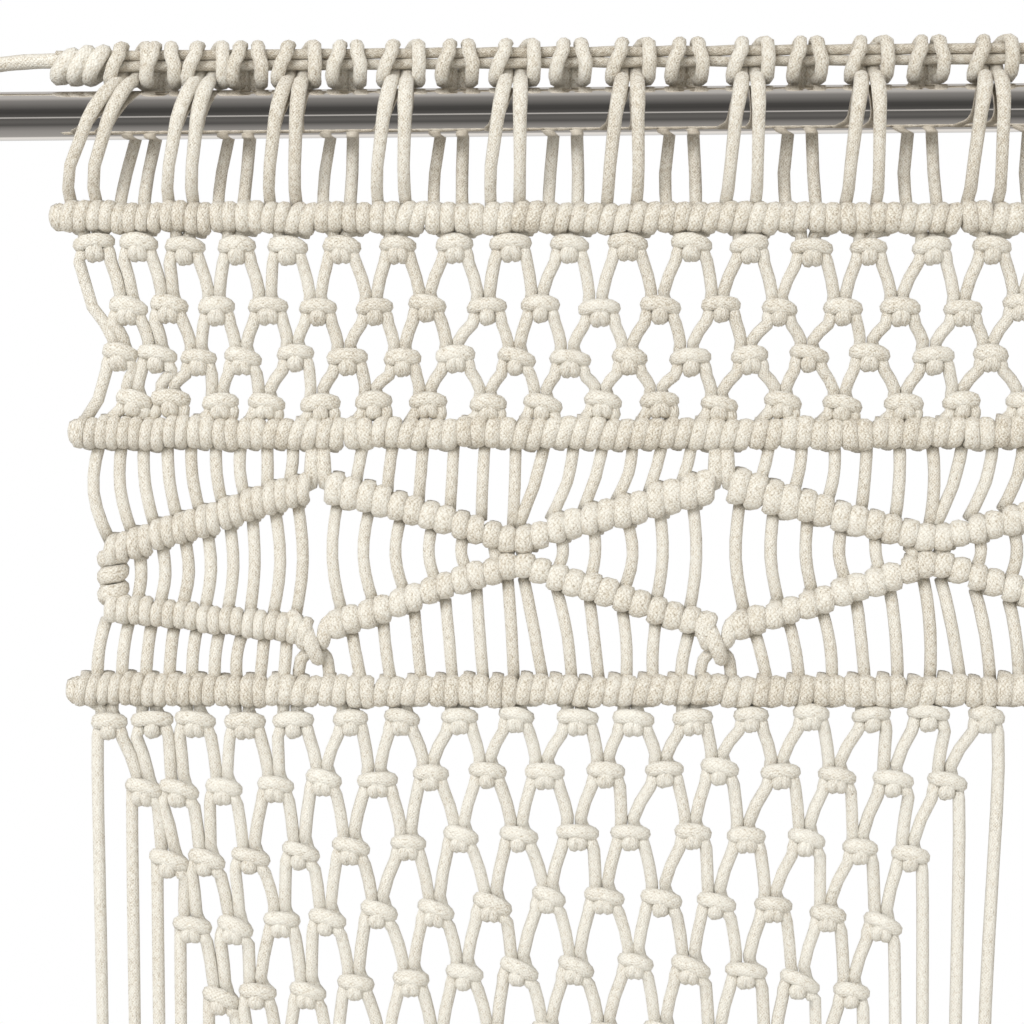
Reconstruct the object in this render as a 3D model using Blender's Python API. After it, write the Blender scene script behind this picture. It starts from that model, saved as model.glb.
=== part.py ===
"""Macrame curtain on a chrome rod.

Blender script, metres, +Z up. X runs along the rod to the right and the front
faces -Y. The origin is the centre of the rod's left end face.

The curtain is knotted from 52 cotton cords, each folded in two over a doubled
header cord. The header lies on top of the rod, and its strands pass before and
behind the rod in turn. Below them come a knotted bar, an open net, a second bar,
a band of seven diamonds, a third bar, and three nets that narrow to points, from
which the cords run on as a fringe.
"""

import math

import bmesh
import bpy

MM = 0.001

# Driving dimensions
CORD = 4.2 * MM  # braided cotton cord
GAP = 0.3 * MM  # between two separate pieces
ROD_LENGTH = 1200 * MM
ROD_RADIUS = 8 * MM
HEADS = 52  # folded cords on the header
EDGE_PITCH = 14.6 * MM  # between two columns of knots at the sides
MIDDLE_PITCH = 20.4 * MM  # and in the middle
EASE = 5.0  # columns over which the pitch grows
HEAD_SQUEEZE = 11.5 * MM  # how far the first head sits inside its column
SQUEEZE_EASE = 3.2  # columns over which that fades
DROOP = 3.5 * MM  # the middle of every bar hangs lower than its ends
STATIONS = 12  # straight lengths that make up the drooping curve

HEADER_HALF_HEIGHT = 8.1 * MM
HEADER_HALF_DEPTH = 6.3 * MM
HEADER_Z = ROD_RADIUS + GAP + HEADER_HALF_HEIGHT
STRANDS_TOP_Z = 10.0 * MM  # where the strands leave the header, beside its lower edge
STRANDS_TOP_Y = 6.42 * MM
ROD_CLEARANCE = 0.7 * MM  # between the rod and the strands that pass it
BAR_HALF_HEIGHT = 5.2 * MM
BAR_HALF_DEPTH = 6.3 * MM
BAR_1_Z = -33.5 * MM
BAR_2_Z = -104.5 * MM
BAR_3_Z = -189.5 * MM
BAR_1_REACH = 14.2 * MM  # each bar's ends stand this far outside the first column
BAR_2_REACH = 8.6 * MM
BAR_3_REACH = 10.0 * MM
KNOB_LENGTH = 5 * MM  # the rounded end of a bar
KNOB_SECTIONS = ((0.0, 0.5), (1.5 * MM, 0.8))  # in from its tip: share of the bar's thickness

NET_HALF_DEPTH = 2.5 * MM
UPPER_NET_ROWS = (-43.4 * MM, -62.9 * MM, -79.4 * MM, -94.6 * MM)
MESH_HALF_WIDTH = 4.2 * MM  # the open space between two knots of a row
MESH_HALF_HEIGHT = 11 * MM
# The upper net's side edge, from top to bottom: how far outside the first column, and z.
NET_SIDE = ((4.3 * MM, None), (3.0 * MM, -60 * MM), (-3.5 * MM, -77 * MM), (1.5 * MM, None))

APEX_COLUMNS = (4.5, 11.5, 18.5, 25.5, 32.5, 39.5, 46.5)  # tops of the diamonds
APEX_Z = BAR_2_Z - 16.5 * MM
CROSSING_Z = BAR_2_Z - 39.0 * MM
LOW_APEX_Z = BAR_2_Z - 65.5 * MM
SIDE_TIP_UPPER_Z = BAR_2_Z - 40.6 * MM  # the outermost diamonds end blunt
SIDE_TIP_LOWER_Z = BAR_2_Z - 57.5 * MM
DIAGONAL_HALF_HEIGHT = 4.5 * MM
DIAGONAL_HALF_DEPTH = 6.0 * MM
DIAMOND_GAP_HALF_WIDTH = 5.1 * MM  # the open slit down the middle of a diamond
CROSSING_RISE = DIAGONAL_HALF_HEIGHT + GAP / 2  # of the upper bars over the crossing
LOWER_BAR_ROOM = DIAGONAL_HALF_HEIGHT * 1.12 + GAP  # over the sloping lower bars

POINTED_NETS = ((0, 16), (17, 34), (35, 51))  # first and last column of each
POINTED_FIRST_ROW_Z = BAR_3_Z - 9.5 * MM
POINTED_ROW_PITCH = 22.8 * MM
ROW_LIFT = 10 * MM  # the middle of a pointed net's rows hangs higher than their ends
LIFT_EASE = 1.2  # rows over which that grows
LIFT_KNOTS = 8  # and it is less in a row with fewer spaces than this
LIFT_SKEW = 1.5  # the highest knot is right of the middle
POINTED_MESH_HALF_HEIGHT = 0.76 * POINTED_ROW_PITCH
KNOT_HALF_WIDTH = 7.0 * MM
FRINGE_CLEARANCE = 1.2 * GAP  # sideways, because a net's edge slants
FRINGE_Z = -1300 * MM
FRINGE_UNEVEN = 3.0 * MM
FRINGE_WAVE = (2.4, 90)  # of the hem, radians a row and a metre
TOOTH_ROOT = 5 * MM  # a fringe cord leaves its knot this far under the knot's middle
TOOTH_SHOULDER = 2 * MM  # and the knot's outer corner is this far above it

HEADER_CORD = 5.0 * MM
START_WRAPS_REACH = 27.0 * MM  # the header's own wraps, outside the first head
# The loose stretch of the header cord, from the header out to the tie: share, height.
TAIL_HEIGHTS = ((0.0, 18.2 * MM), (0.33, 17.8 * MM), (0.66, 16.4 * MM), (1.0, 12.4 * MM))
TIE_X = 55 * MM
TIE_HALF_WIDTH = 6.5 * MM
TIE_CLEARANCE = 0.4 * MM
TIE_SIDES = 24
TIE_CORNERS = 6
ROD_SIDES = 48

MATERIALS = {
    "cotton": ((0.80, 0.74, 0.64, 1), 0.9, 0.0),
    "chrome": ((0.72, 0.72, 0.73, 1), 0.12, 1.0),
}


def column_places():
    """The x of each column, close together at the sides and wider in the middle."""
    pitches = []
    for i in range(HEADS - 1):
        from_side = min(i, HEADS - 2 - i)
        narrowing = (MIDDLE_PITCH - EDGE_PITCH) * math.exp(-from_side / EASE)
        pitches.append(MIDDLE_PITCH - narrowing)
    places = [(ROD_LENGTH - sum(pitches)) / 2]
    for pitch in pitches:
        places.append(places[-1] + pitch)
    return places


COLUMNS = column_places()
LEFT, RIGHT = COLUMNS[0], COLUMNS[-1]


def column_x(place):
    """The x of a place counted in columns, such as 4.5 for half way from 4 to 5."""
    i = min(int(place), HEADS - 2)
    return COLUMNS[i] + (place - i) * (COLUMNS[i + 1] - COLUMNS[i])


def head_x(i):
    """The heads near the ends are pushed in towards the middle of the header."""
    from_left = math.exp(-i / SQUEEZE_EASE)
    from_right = math.exp(-(HEADS - 1 - i) / SQUEEZE_EASE)
    return COLUMNS[i] + HEAD_SQUEEZE * (from_left - from_right)


def droop(x):
    """How far the knotting hangs down at x, along straight lengths."""
    along = min(max((x - LEFT) / (RIGHT - LEFT), 0.0), 1.0) * STATIONS
    before = min(int(along), STATIONS - 1)
    z0, z1 = (-DROOP * math.sin(math.pi * i / STATIONS) for i in (before, before + 1))
    return z0 + (z1 - z0) * (along - before)


def drooping_edge(x0, x1, z):
    """Points from x0 to x1, either way round, at z and the droop there."""
    stations = [LEFT + (RIGHT - LEFT) * i / STATIONS for i in range(STATIONS + 1)]
    low, high = min(x0, x1), max(x0, x1)
    between = [x for x in stations if low + CORD / 4 < x < high - CORD / 4]
    if x1 < x0:
        between.reverse()
    return [(x, z + droop(x)) for x in (x0, *between, x1)]


def material(name):
    found = bpy.data.materials.get(name)
    if found:
        return found
    colour, roughness, metallic = MATERIALS[name]
    made = bpy.data.materials.new(name)
    made.use_nodes = True
    shader = made.node_tree.nodes["Principled BSDF"]
    shader.inputs["Base Color"].default_value = colour
    shader.inputs["Roughness"].default_value = roughness
    shader.inputs["Metallic"].default_value = metallic
    return made


def add_object(name, bm, finish="cotton"):
    bmesh.ops.recalc_face_normals(bm, faces=bm.faces)
    mesh = bpy.data.meshes.new(name)
    bm.to_mesh(mesh)
    bm.free()
    made = bpy.data.objects.new(name, mesh)
    mesh.materials.append(material(finish))
    bpy.context.scene.collection.objects.link(made)
    return made


def union(body, other):
    """Joins other to body, so that both are one closed solid."""
    other.hide_render = True
    other.display_type = "WIRE"
    joined = body.modifiers.new("union", "BOOLEAN")
    joined.operation = "UNION"
    joined.solver = "EXACT"
    joined.object = other
    return body


def loft(bm, rings):
    """A closed body through rings of the same number of points."""
    made = [[bm.verts.new(point) for point in ring] for ring in rings]
    count = len(made[0])
    for ring, following in zip(made, made[1:]):
        for i in range(count):
            j = (i + 1) % count
            bm.faces.new((ring[i], ring[j], following[j], following[i]))
    bm.faces.new(made[0])
    bm.faces.new(reversed(made[-1]))


def round_ring(x, z, half_height, half_depth, sides=8):
    """A ring of points around the X direction."""
    ring = []
    for i in range(sides):
        angle = 2 * math.pi * (i + 0.5) / sides
        stretch = 1 / math.cos(math.pi / sides)
        y = half_depth * math.cos(angle) * stretch
        ring.append((x, y, z + half_height * math.sin(angle) * stretch))
    return ring


def plate(bm, outline, holes, half_depth):
    """A flat sheet in the XZ plane, centred on y = 0, with holes cut through."""
    edges = []
    for loop in (outline, *holes):
        verts = [bm.verts.new((x, -half_depth, z)) for x, z in loop]
        for start, end in zip(verts, verts[1:] + verts[:1]):
            edges.append(bm.edges.new((start, end)))
    bmesh.ops.triangle_fill(bm, edges=edges, use_beauty=True, use_dissolve=False)
    thicken(bm, half_depth)


def thicken(bm, half_depth):
    """Turns the front face of a sheet into a closed sheet of its full thickness."""
    pushed = bmesh.ops.extrude_face_region(bm, geom=bm.faces[:], use_keep_orig=True)
    back = [item for item in pushed["geom"] if isinstance(item, bmesh.types.BMVert)]
    bmesh.ops.translate(bm, verts=back, vec=(0, 2 * half_depth, 0))


def make_rod():
    bm = bmesh.new()
    ends = (0.0, ROD_LENGTH)
    inscribed = ROD_RADIUS * math.cos(math.pi / ROD_SIDES)
    loft(bm, [round_ring(x, 0, inscribed, inscribed, ROD_SIDES) for x in ends])
    rod = add_object("rod", bm, "chrome")
    rod.data.shade_smooth()
    rod.data.set_sharp_from_angle(angle=math.radians(30))


def make_header():
    """The roll of the doubled header cord with the heads tied over it."""
    bm = bmesh.new()
    ends = (head_x(0) - START_WRAPS_REACH, head_x(HEADS - 1) + START_WRAPS_REACH)
    loft(bm, [round_ring(x, HEADER_Z, HEADER_HALF_HEIGHT, HEADER_HALF_DEPTH) for x in ends])
    add_object("header", bm)


def strand_path():
    """The middle of the strands from the header past the rod to the first bar, as
    (how far before or behind the rod's centre, z). The last z depends on the bar."""
    beside_rod = ROD_RADIUS + CORD / 2 + ROD_CLEARANCE
    return (
        (beside_rod - 1.2 * MM, 6.5 * MM),
        (beside_rod, 0.0),
        (beside_rod - 1.8 * MM, -9.0 * MM),
        (CORD / 2, None),
    )


def strand_rings(i, side):
    """A pair of strands from head i past the rod to the first bar, before it
    (side -1) or behind it (side 1), as one flat band that widens downwards."""
    top_x, low_x = head_x(i), COLUMNS[i]
    low_z = BAR_1_Z + droop(low_x) + BAR_HALF_HEIGHT + GAP
    neighbour = COLUMNS[i + 1] if i + 1 < HEADS else 2 * COLUMNS[i] - COLUMNS[i - 1]
    top_half, low_half = CORD, (neighbour - COLUMNS[i]) / 4 + CORD / 2
    rings = []
    for y, z in strand_path():
        z = low_z if z is None else z
        down = (STRANDS_TOP_Z - z) / (STRANDS_TOP_Z - low_z)
        x = top_x + down * (low_x - top_x)
        half = top_half + down * (low_half - top_half)
        near, far = side * (y - CORD / 2), side * (y + CORD / 2)
        rings.append(
            ((x - half, near, z), (x + half, near, z), (x + half, far, z), (x - half, far, z))
        )
    return rings


def make_strands(name, side):
    """The strands that pass on one side of the rod, as one comb. They leave the
    header in one strip along its lower edge, and hang on from it in pairs."""
    first = 0 if side < 0 else 1
    heads = range(first, HEADS, 2)
    below_y, below_z = strand_path()[0]
    ends = (head_x(heads[0]) - CORD, head_x(heads[-1]) + CORD)
    bm = bmesh.new()
    rings = []
    for x in ends:
        ring = []
        for y, z in ((STRANDS_TOP_Y, STRANDS_TOP_Z), (below_y, below_z)):
            ring += [(x, side * (y - CORD / 2), z), (x, side * (y + CORD / 2), z)]
        rings.append((ring[0], ring[1], ring[3], ring[2]))
    loft(bm, rings)
    strip = add_object(name, bm)
    bm = bmesh.new()
    for i in heads:
        loft(bm, strand_rings(i, side))
    union(strip, add_object(name + "_tool", bm))


def make_header_ends():
    """Each end of the header cord runs out beside the heads and is tied to the rod."""
    for name, turn in (("left", 1), ("right", -1)):
        middle = ROD_LENGTH / 2
        start = middle + turn * (head_x(0) - START_WRAPS_REACH - GAP - middle)
        tie = middle + turn * (TIE_X - middle)
        end = tie + turn * (TIE_HALF_WIDTH + GAP)
        tail = bpy.data.curves.new("header_tail_" + name, "CURVE")
        tail.dimensions = "3D"
        tail.bevel_depth = HEADER_CORD / 2
        tail.bevel_resolution = 2
        tail.use_fill_caps = True
        spline = tail.splines.new("POLY")
        spline.points.add(len(TAIL_HEIGHTS) - 1)
        for point, (share, z) in zip(spline.points, TAIL_HEIGHTS):
            point.co = (start + share * (end - start), 0, z, 1)
        tail.materials.append(material("cotton"))
        made = bpy.data.objects.new("header_tail_" + name, tail)
        bpy.context.scene.collection.objects.link(made)
        make_tie("header_tie_" + name, tie)


def make_tie(name, x):
    """Two turns of the header cord round the rod, drawn tight."""
    bm = bmesh.new()
    middle = ROD_RADIUS + TIE_CLEARANCE + HEADER_CORD / 2
    rings = []
    for i in range(TIE_SIDES):
        around = 2 * math.pi * i / TIE_SIDES
        ring = []
        for j in range(TIE_CORNERS):
            angle = 2 * math.pi * j / TIE_CORNERS
            radius = middle - HEADER_CORD / 2 * math.cos(angle)
            ring.append(
                (
                    x + TIE_HALF_WIDTH * math.sin(angle),
                    radius * math.cos(around),
                    radius * math.sin(around),
                )
            )
        rings.append([bm.verts.new(point) for point in ring])
    for i in range(TIE_SIDES):
        ring, following = rings[i], rings[(i + 1) % TIE_SIDES]
        for j in range(TIE_CORNERS):
            k = (j + 1) % TIE_CORNERS
            bm.faces.new((ring[j], ring[k], following[k], following[j]))
    add_object(name, bm)


def make_bar(name, z, reach):
    """A bar of tight hitches over a carrier cord, whose ends stand out as knobs."""
    bm = bmesh.new()
    start, end = LEFT - reach, RIGHT + reach
    rings = []
    for inwards, share in KNOB_SECTIONS:
        rings.append(round_ring(start + inwards, z, share * BAR_HALF_HEIGHT, share * BAR_HALF_DEPTH))
    for x, height in drooping_edge(start + KNOB_LENGTH, end - KNOB_LENGTH, z):
        rings.append(round_ring(x, height, BAR_HALF_HEIGHT, BAR_HALF_DEPTH))
    for inwards, share in reversed(KNOB_SECTIONS):
        rings.append(round_ring(end - inwards, z, share * BAR_HALF_HEIGHT, share * BAR_HALF_DEPTH))
    loft(bm, rings)
    add_object(name, bm)


def mesh_hole(x, z, half_height):
    """The open space between two knots of a row and the knots above and below it."""
    return [
        (x, z + half_height),
        (x + MESH_HALF_WIDTH, z),
        (x, z - half_height),
        (x - MESH_HALF_WIDTH, z),
    ]


def make_upper_net():
    """The net between the first two bars. Every second mesh is open, in its two
    full rows."""
    top = BAR_1_Z - BAR_HALF_HEIGHT - GAP
    low = BAR_2_Z + BAR_HALF_HEIGHT + GAP
    top_out, low_out = NET_SIDE[0][0], NET_SIDE[-1][0]
    outline = drooping_edge(RIGHT + top_out, LEFT - top_out, top)
    outline += [(LEFT - out, z) for out, z in NET_SIDE[1:-1]]
    outline += drooping_edge(LEFT - low_out, RIGHT + low_out, low)
    outline += [(RIGHT + out, z) for out, z in reversed(NET_SIDE[1:-1])]
    holes = []
    for place in range(0, HEADS - 2, 2):
        x = column_x(place + 1.0)
        holes.append(mesh_hole(x, UPPER_NET_ROWS[1] + droop(x), MESH_HALF_HEIGHT))
    for place in range(1, HEADS - 2, 2):
        x = column_x(place + 0.5)
        holes.append(mesh_hole(x, UPPER_NET_ROWS[2] + droop(x), MESH_HALF_HEIGHT))
    bm = bmesh.new()
    plate(bm, outline, holes, NET_HALF_DEPTH)
    add_object("upper_net", bm)


def diamond_spans():
    """For each stretch between two neighbouring diamond tops: its left end, its
    crossing and its right end, in columns. At the sides the crossing is missing."""
    spans = [(None, 0.0, APEX_COLUMNS[0])]
    for left, right in zip(APEX_COLUMNS, APEX_COLUMNS[1:]):
        spans.append((left, (left + right) / 2, right))
    spans.append((APEX_COLUMNS[-1], HEADS - 1.0, None))
    return spans


def diagonal_path(span, apex_z, crossing_z, tip_z):
    """The centre line of the two bars that slope to a crossing, as (x, z)."""
    left, crossing, right = span
    path = []
    if left is not None:
        x = column_x(left)
        path.append((x + GAP / 2, apex_z + droop(x)))
    x = column_x(crossing)
    at_side = left is None or right is None
    path.append((x, (tip_z if at_side else crossing_z) + droop(x)))
    if right is not None:
        x = column_x(right)
        path.append((x - GAP / 2, apex_z + droop(x)))
    return path


def z_on(path, x):
    for (x0, z0), (x1, z1) in zip(path, path[1:]):
        if x0 <= x <= x1:
            return z0 + (z1 - z0) * (x - x0) / (x1 - x0)
    return path[0][1] if x < path[0][0] else path[-1][1]


def make_diamonds():
    """Seven diamonds of sloping bars. Each stretch between two tops is two solids:
    the upper bars with the cords above and below them, and the lower bars with the
    cords that run down from them."""
    for number, span in enumerate(diamond_spans(), 1):
        upper = diagonal_path(span, APEX_Z, CROSSING_Z + CROSSING_RISE, SIDE_TIP_UPPER_Z)
        lower = diagonal_path(span, LOW_APEX_Z, CROSSING_Z - CROSSING_RISE, SIDE_TIP_LOWER_Z)
        make_upper_diagonals(number, span, upper, lower)
        make_lower_diagonals(number, span, lower)


def diagonal_bar(name, path):
    bm = bmesh.new()
    rings = [round_ring(x, z, DIAGONAL_HALF_HEIGHT, DIAGONAL_HALF_DEPTH) for x, z in path]
    loft(bm, rings)
    return add_object(name, bm)


def make_upper_diagonals(number, span, upper, lower):
    left, crossing, right = span
    top = BAR_2_Z - BAR_HALF_HEIGHT - GAP
    start, end = upper[0][0], upper[-1][0]
    slit = DIAMOND_GAP_HALF_WIDTH
    outline = []
    if left is None:
        start -= CORD
        outline.append((start, z_on(lower, start) + LOWER_BAR_ROOM))
    else:
        outline.append((start, z_on(upper, start)))
        outline.append((start + slit, z_on(upper, start + slit)))
        outline.append((start + slit, z_on(lower, start + slit) + LOWER_BAR_ROOM))
    if left is not None and right is not None:
        x = column_x(crossing)
        outline.append((x, z_on(lower, x) + LOWER_BAR_ROOM))
    if right is None:
        end += CORD
        outline.append((end, z_on(lower, end) + LOWER_BAR_ROOM))
    else:
        outline.append((end - slit, z_on(lower, end - slit) + LOWER_BAR_ROOM))
        outline.append((end - slit, z_on(upper, end - slit)))
        outline.append((end, z_on(upper, end)))
    outline += drooping_edge(end, start, top)
    bar = diagonal_bar(f"diamond_upper_{number}", upper)
    bm = bmesh.new()
    plate(bm, outline, [], CORD / 2)
    union(bar, add_object(f"diamond_upper_cords_tool_{number}", bm))


def make_lower_diagonals(number, span, lower):
    left, crossing, right = span
    low = BAR_3_Z + BAR_HALF_HEIGHT + GAP
    start, end = lower[0][0], lower[-1][0]
    if left is None:
        start -= CORD
    if right is None:
        end += CORD
    outline = [(start, z_on(lower, start))]
    outline += drooping_edge(start, end, low)
    outline.append((end, z_on(lower, end)))
    if left is not None and right is not None:
        x = column_x(crossing)
        outline.append((x, z_on(lower, x)))
    bar = diagonal_bar(f"diamond_lower_{number}", lower)
    bm = bmesh.new()
    plate(bm, outline, [], CORD / 2)
    union(bar, add_object(f"diamond_lower_cords_tool_{number}", bm))


def row_lift(row, place, knots):
    """How far a knot of a pointed net sits above the ends of its row. place counts
    the row's knots from 0."""
    spaces = max(1, knots - 1)
    most = ROW_LIFT * (1 - math.exp(-row / LIFT_EASE)) * min(1.0, spaces / LIFT_KNOTS)
    return most * math.sin(math.pi * (place / spaces) ** LIFT_SKEW)


def make_pointed_nets():
    """Three nets that lose half a mesh at each side in every row, down to one knot,
    and the fringe that hangs from both slanting edges of each."""
    top = BAR_3_Z - BAR_HALF_HEIGHT - GAP
    for number, (first, last) in enumerate(POINTED_NETS, 1):
        rows = last - first + 1
        middle = column_x((first + last) / 2)
        left, right = [], []
        for row in range(rows):
            z = POINTED_FIRST_ROW_Z - row * POINTED_ROW_PITCH + droop(middle)
            left.append((column_x(first + row / 2), z))
            right.append((column_x(last - row / 2), z))
        make_pointed_net(number, first, left, right, top)
        make_fringe(f"fringe_{number}_left", -1, left, top)
        make_fringe(f"fringe_{number}_right", 1, right, top)


def make_pointed_net(number, first, left, right, top):
    """left and right are the outermost knots of each row, and meet in the last."""
    outline = left + right[-2::-1]
    outline += drooping_edge(right[0][0], left[0][0], top)
    holes = []
    for row in range(1, len(left) - 3, 2):
        knots = len(left) - row
        for space in range(1 + (row // 2) % 2, knots - 2, 2):
            x = column_x(first + row / 2 + space + 0.5)
            z = left[row][1] + row_lift(row, space + 0.5, knots)
            holes.append(mesh_hole(x, z, POINTED_MESH_HALF_HEIGHT))
    bm = bmesh.new()
    plate(bm, outline, holes, NET_HALF_DEPTH)
    add_object(f"pointed_net_{number}", bm)


def make_fringe(name, side, edge, top):
    """One comb: a strip of knots down the slanting edge of a net, with a tooth for
    each cord that leaves it."""
    bm = bmesh.new()

    def point(x, z):
        return bm.verts.new((x, -CORD / 2, z))

    wide = KNOT_HALF_WIDTH
    x, z = edge[0]
    level = top + droop(x)
    inner = point(x + side * FRINGE_CLEARANCE, z)
    outer = point(x + side * wide, z + TOOTH_SHOULDER)
    upper = (point(x + side * FRINGE_CLEARANCE, level), point(x + side * wide, level))
    bm.faces.new((upper[0], inner, outer, upper[1]))
    for row, (x, z) in enumerate(edge):
        root = point(x + side * (wide - CORD), z - TOOTH_ROOT)
        bm.faces.new((inner, root, outer))
        end = FRINGE_Z + FRINGE_UNEVEN * math.sin(FRINGE_WAVE[0] * row + FRINGE_WAVE[1] * x)
        tooth_end = (point(x + side * (wide - CORD), end), point(x + side * wide, end))
        bm.faces.new((root, *tooth_end, outer))
        if row + 1 < len(edge):
            x, z = edge[row + 1]
            next_inner = point(x + side * FRINGE_CLEARANCE, z)
            next_outer = point(x + side * wide, z + TOOTH_SHOULDER)
            bm.faces.new((inner, next_inner, next_outer, root))
            inner, outer = next_inner, next_outer
    thicken(bm, CORD / 2)
    add_object(name, bm)


def clear_scene():
    for old in list(bpy.data.objects):
        bpy.data.objects.remove(old, do_unlink=True)


clear_scene()
make_rod()
make_header()
make_strands("header_strands_front", -1)
make_strands("header_strands_back", 1)
make_header_ends()
make_bar("bar_1", BAR_1_Z, BAR_1_REACH)
make_upper_net()
make_bar("bar_2", BAR_2_Z, BAR_2_REACH)
make_diamonds()
make_bar("bar_3", BAR_3_Z, BAR_3_REACH)
make_pointed_nets()
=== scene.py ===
"""A knotted cotton curtain on a chrome rod, in the order in which it is put together:
the rod, the header, the cords looped on it, then bars, nets and diamonds down to the
fringe. Metres, +Z up, with the front facing -Y and X running along the rod."""

import math

import bmesh
import bpy
import numpy as np
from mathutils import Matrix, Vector


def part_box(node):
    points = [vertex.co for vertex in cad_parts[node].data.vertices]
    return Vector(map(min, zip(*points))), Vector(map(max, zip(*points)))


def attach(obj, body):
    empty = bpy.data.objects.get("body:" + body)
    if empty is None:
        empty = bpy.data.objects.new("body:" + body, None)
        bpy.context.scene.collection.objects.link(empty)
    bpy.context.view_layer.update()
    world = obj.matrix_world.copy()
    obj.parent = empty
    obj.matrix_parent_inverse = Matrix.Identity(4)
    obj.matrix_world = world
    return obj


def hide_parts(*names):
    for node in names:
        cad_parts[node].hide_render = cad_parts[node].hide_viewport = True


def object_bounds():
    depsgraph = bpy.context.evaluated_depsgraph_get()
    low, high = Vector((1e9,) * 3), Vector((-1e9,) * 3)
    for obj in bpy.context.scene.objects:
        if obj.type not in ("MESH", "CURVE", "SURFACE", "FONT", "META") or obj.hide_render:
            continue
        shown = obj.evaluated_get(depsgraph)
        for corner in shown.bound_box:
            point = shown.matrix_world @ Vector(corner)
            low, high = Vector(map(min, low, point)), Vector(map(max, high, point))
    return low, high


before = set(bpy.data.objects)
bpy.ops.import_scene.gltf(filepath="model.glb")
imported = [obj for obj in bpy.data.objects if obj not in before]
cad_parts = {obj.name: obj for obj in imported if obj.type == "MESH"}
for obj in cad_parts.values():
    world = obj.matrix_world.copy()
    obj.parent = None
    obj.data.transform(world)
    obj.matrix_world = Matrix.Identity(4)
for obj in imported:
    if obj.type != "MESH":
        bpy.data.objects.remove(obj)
cad_low, cad_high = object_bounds()
MM = 0.001


# --- Rod ---
# A steel tube, chromed and polished, that the whole curtain hangs from. It is cut
# square, and each end is closed with a flat plug.
rod_low, rod_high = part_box("rod")
ROD_LENGTH = rod_high.x - rod_low.x
ROD_RADIUS = (rod_high.z - rod_low.z) / 2
# From the plug out to the tube: radius, and how far in from the end, in millimetres.
ROD_PROFILE = ((6.7, 0), (6.8, 0.25), (6.95, 0.25), (7.05, 0), (7.6, 0), (8.0, 0.4))
ROD_SIDES = 96


def chrome_material():
    """Polished chrome plate, with faint wiping marks along the tube."""
    made = bpy.data.materials.new("chrome")
    made.use_nodes = True
    nodes, links = made.node_tree.nodes, made.node_tree.links
    shader = nodes["Principled BSDF"]
    shader.inputs["Base Color"].default_value = (0.92, 0.89, 0.86, 1)
    shader.inputs["Metallic"].default_value = 1.0
    place = nodes.new("ShaderNodeTexCoord")
    stretch = nodes.new("ShaderNodeMapping")
    stretch.inputs["Scale"].default_value = (9, 420, 420)
    marks = nodes.new("ShaderNodeTexNoise")
    marks.inputs["Scale"].default_value = 1.0
    marks.inputs["Detail"].default_value = 4
    gloss = nodes.new("ShaderNodeMapRange")
    gloss.inputs["To Min"].default_value = 0.03
    gloss.inputs["To Max"].default_value = 0.08
    bump = nodes.new("ShaderNodeBump")
    bump.inputs["Strength"].default_value = 0.02
    bump.inputs["Distance"].default_value = 0.2 * MM
    links.new(place.outputs["Object"], stretch.inputs["Vector"])
    links.new(stretch.outputs["Vector"], marks.inputs["Vector"])
    links.new(marks.outputs["Fac"], gloss.inputs["Value"])
    links.new(gloss.outputs["Result"], shader.inputs["Roughness"])
    links.new(marks.outputs["Fac"], bump.inputs["Height"])
    links.new(bump.outputs["Normal"], shader.inputs["Normal"])
    return made


def make_rod():
    bm = bmesh.new()
    rings = []
    half = ROD_LENGTH / 2
    profile = [(r * MM, half - depth * MM) for r, depth in ROD_PROFILE]
    profile += [(r, -along) for r, along in reversed(profile)]
    for radius, along in profile:
        ring = []
        for i in range(ROD_SIDES):
            angle = 2 * math.pi * i / ROD_SIDES
            place = (along + half, radius * math.cos(angle), radius * math.sin(angle))
            ring.append(bm.verts.new(place))
        rings.append(ring)
    for ring, following in zip(rings, rings[1:]):
        for i in range(ROD_SIDES):
            j = (i + 1) % ROD_SIDES
            bm.faces.new((ring[i], following[i], following[j], ring[j]))
    bm.faces.new(rings[0])
    bm.faces.new(reversed(rings[-1]))
    bmesh.ops.recalc_face_normals(bm, faces=bm.faces)
    mesh = bpy.data.meshes.new("chrome_rod")
    bm.to_mesh(mesh)
    bm.free()
    mesh.shade_smooth()
    mesh.set_sharp_from_angle(angle=math.radians(30))
    mesh.materials.append(chrome_material())
    made = bpy.data.objects.new("chrome_rod", mesh)
    bpy.context.scene.collection.objects.link(made)
    return made


rod = make_rod()
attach(rod, "root")
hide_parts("rod")


# --- Loose ends of the header cord ---
# The header is one long cotton cord, doubled. At each side its end runs on along the
# rod for a few centimetres, and goes into the tie that holds it.
CORD = 4.2 * MM
HEADER_CORD = 5.0 * MM
SIDES = 8
MOST_TURN = math.radians(28)  # of the cord between two rings of its mesh
LONGEST_STEP = 24 * MM
UNEVEN = 0.022  # of a cord's thickness
ASKEW = (0.31, 0.94, 0.11)  # a direction that no cord starts along
# A rounded end: a last ring this far on, in cord widths, and this much thinner, and
# a point beyond it.
ROUND_STEP, ROUND_RING, ROUND_POINT = 0.16, 0.72, 0.08
random = np.random.default_rng(52)


def at(x, y, z, wide=1.0, tall=1.0):
    """A point of a cord's route, and how far the cord is pressed wider or taller."""
    return (x, y, z, wide, tall)


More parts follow.
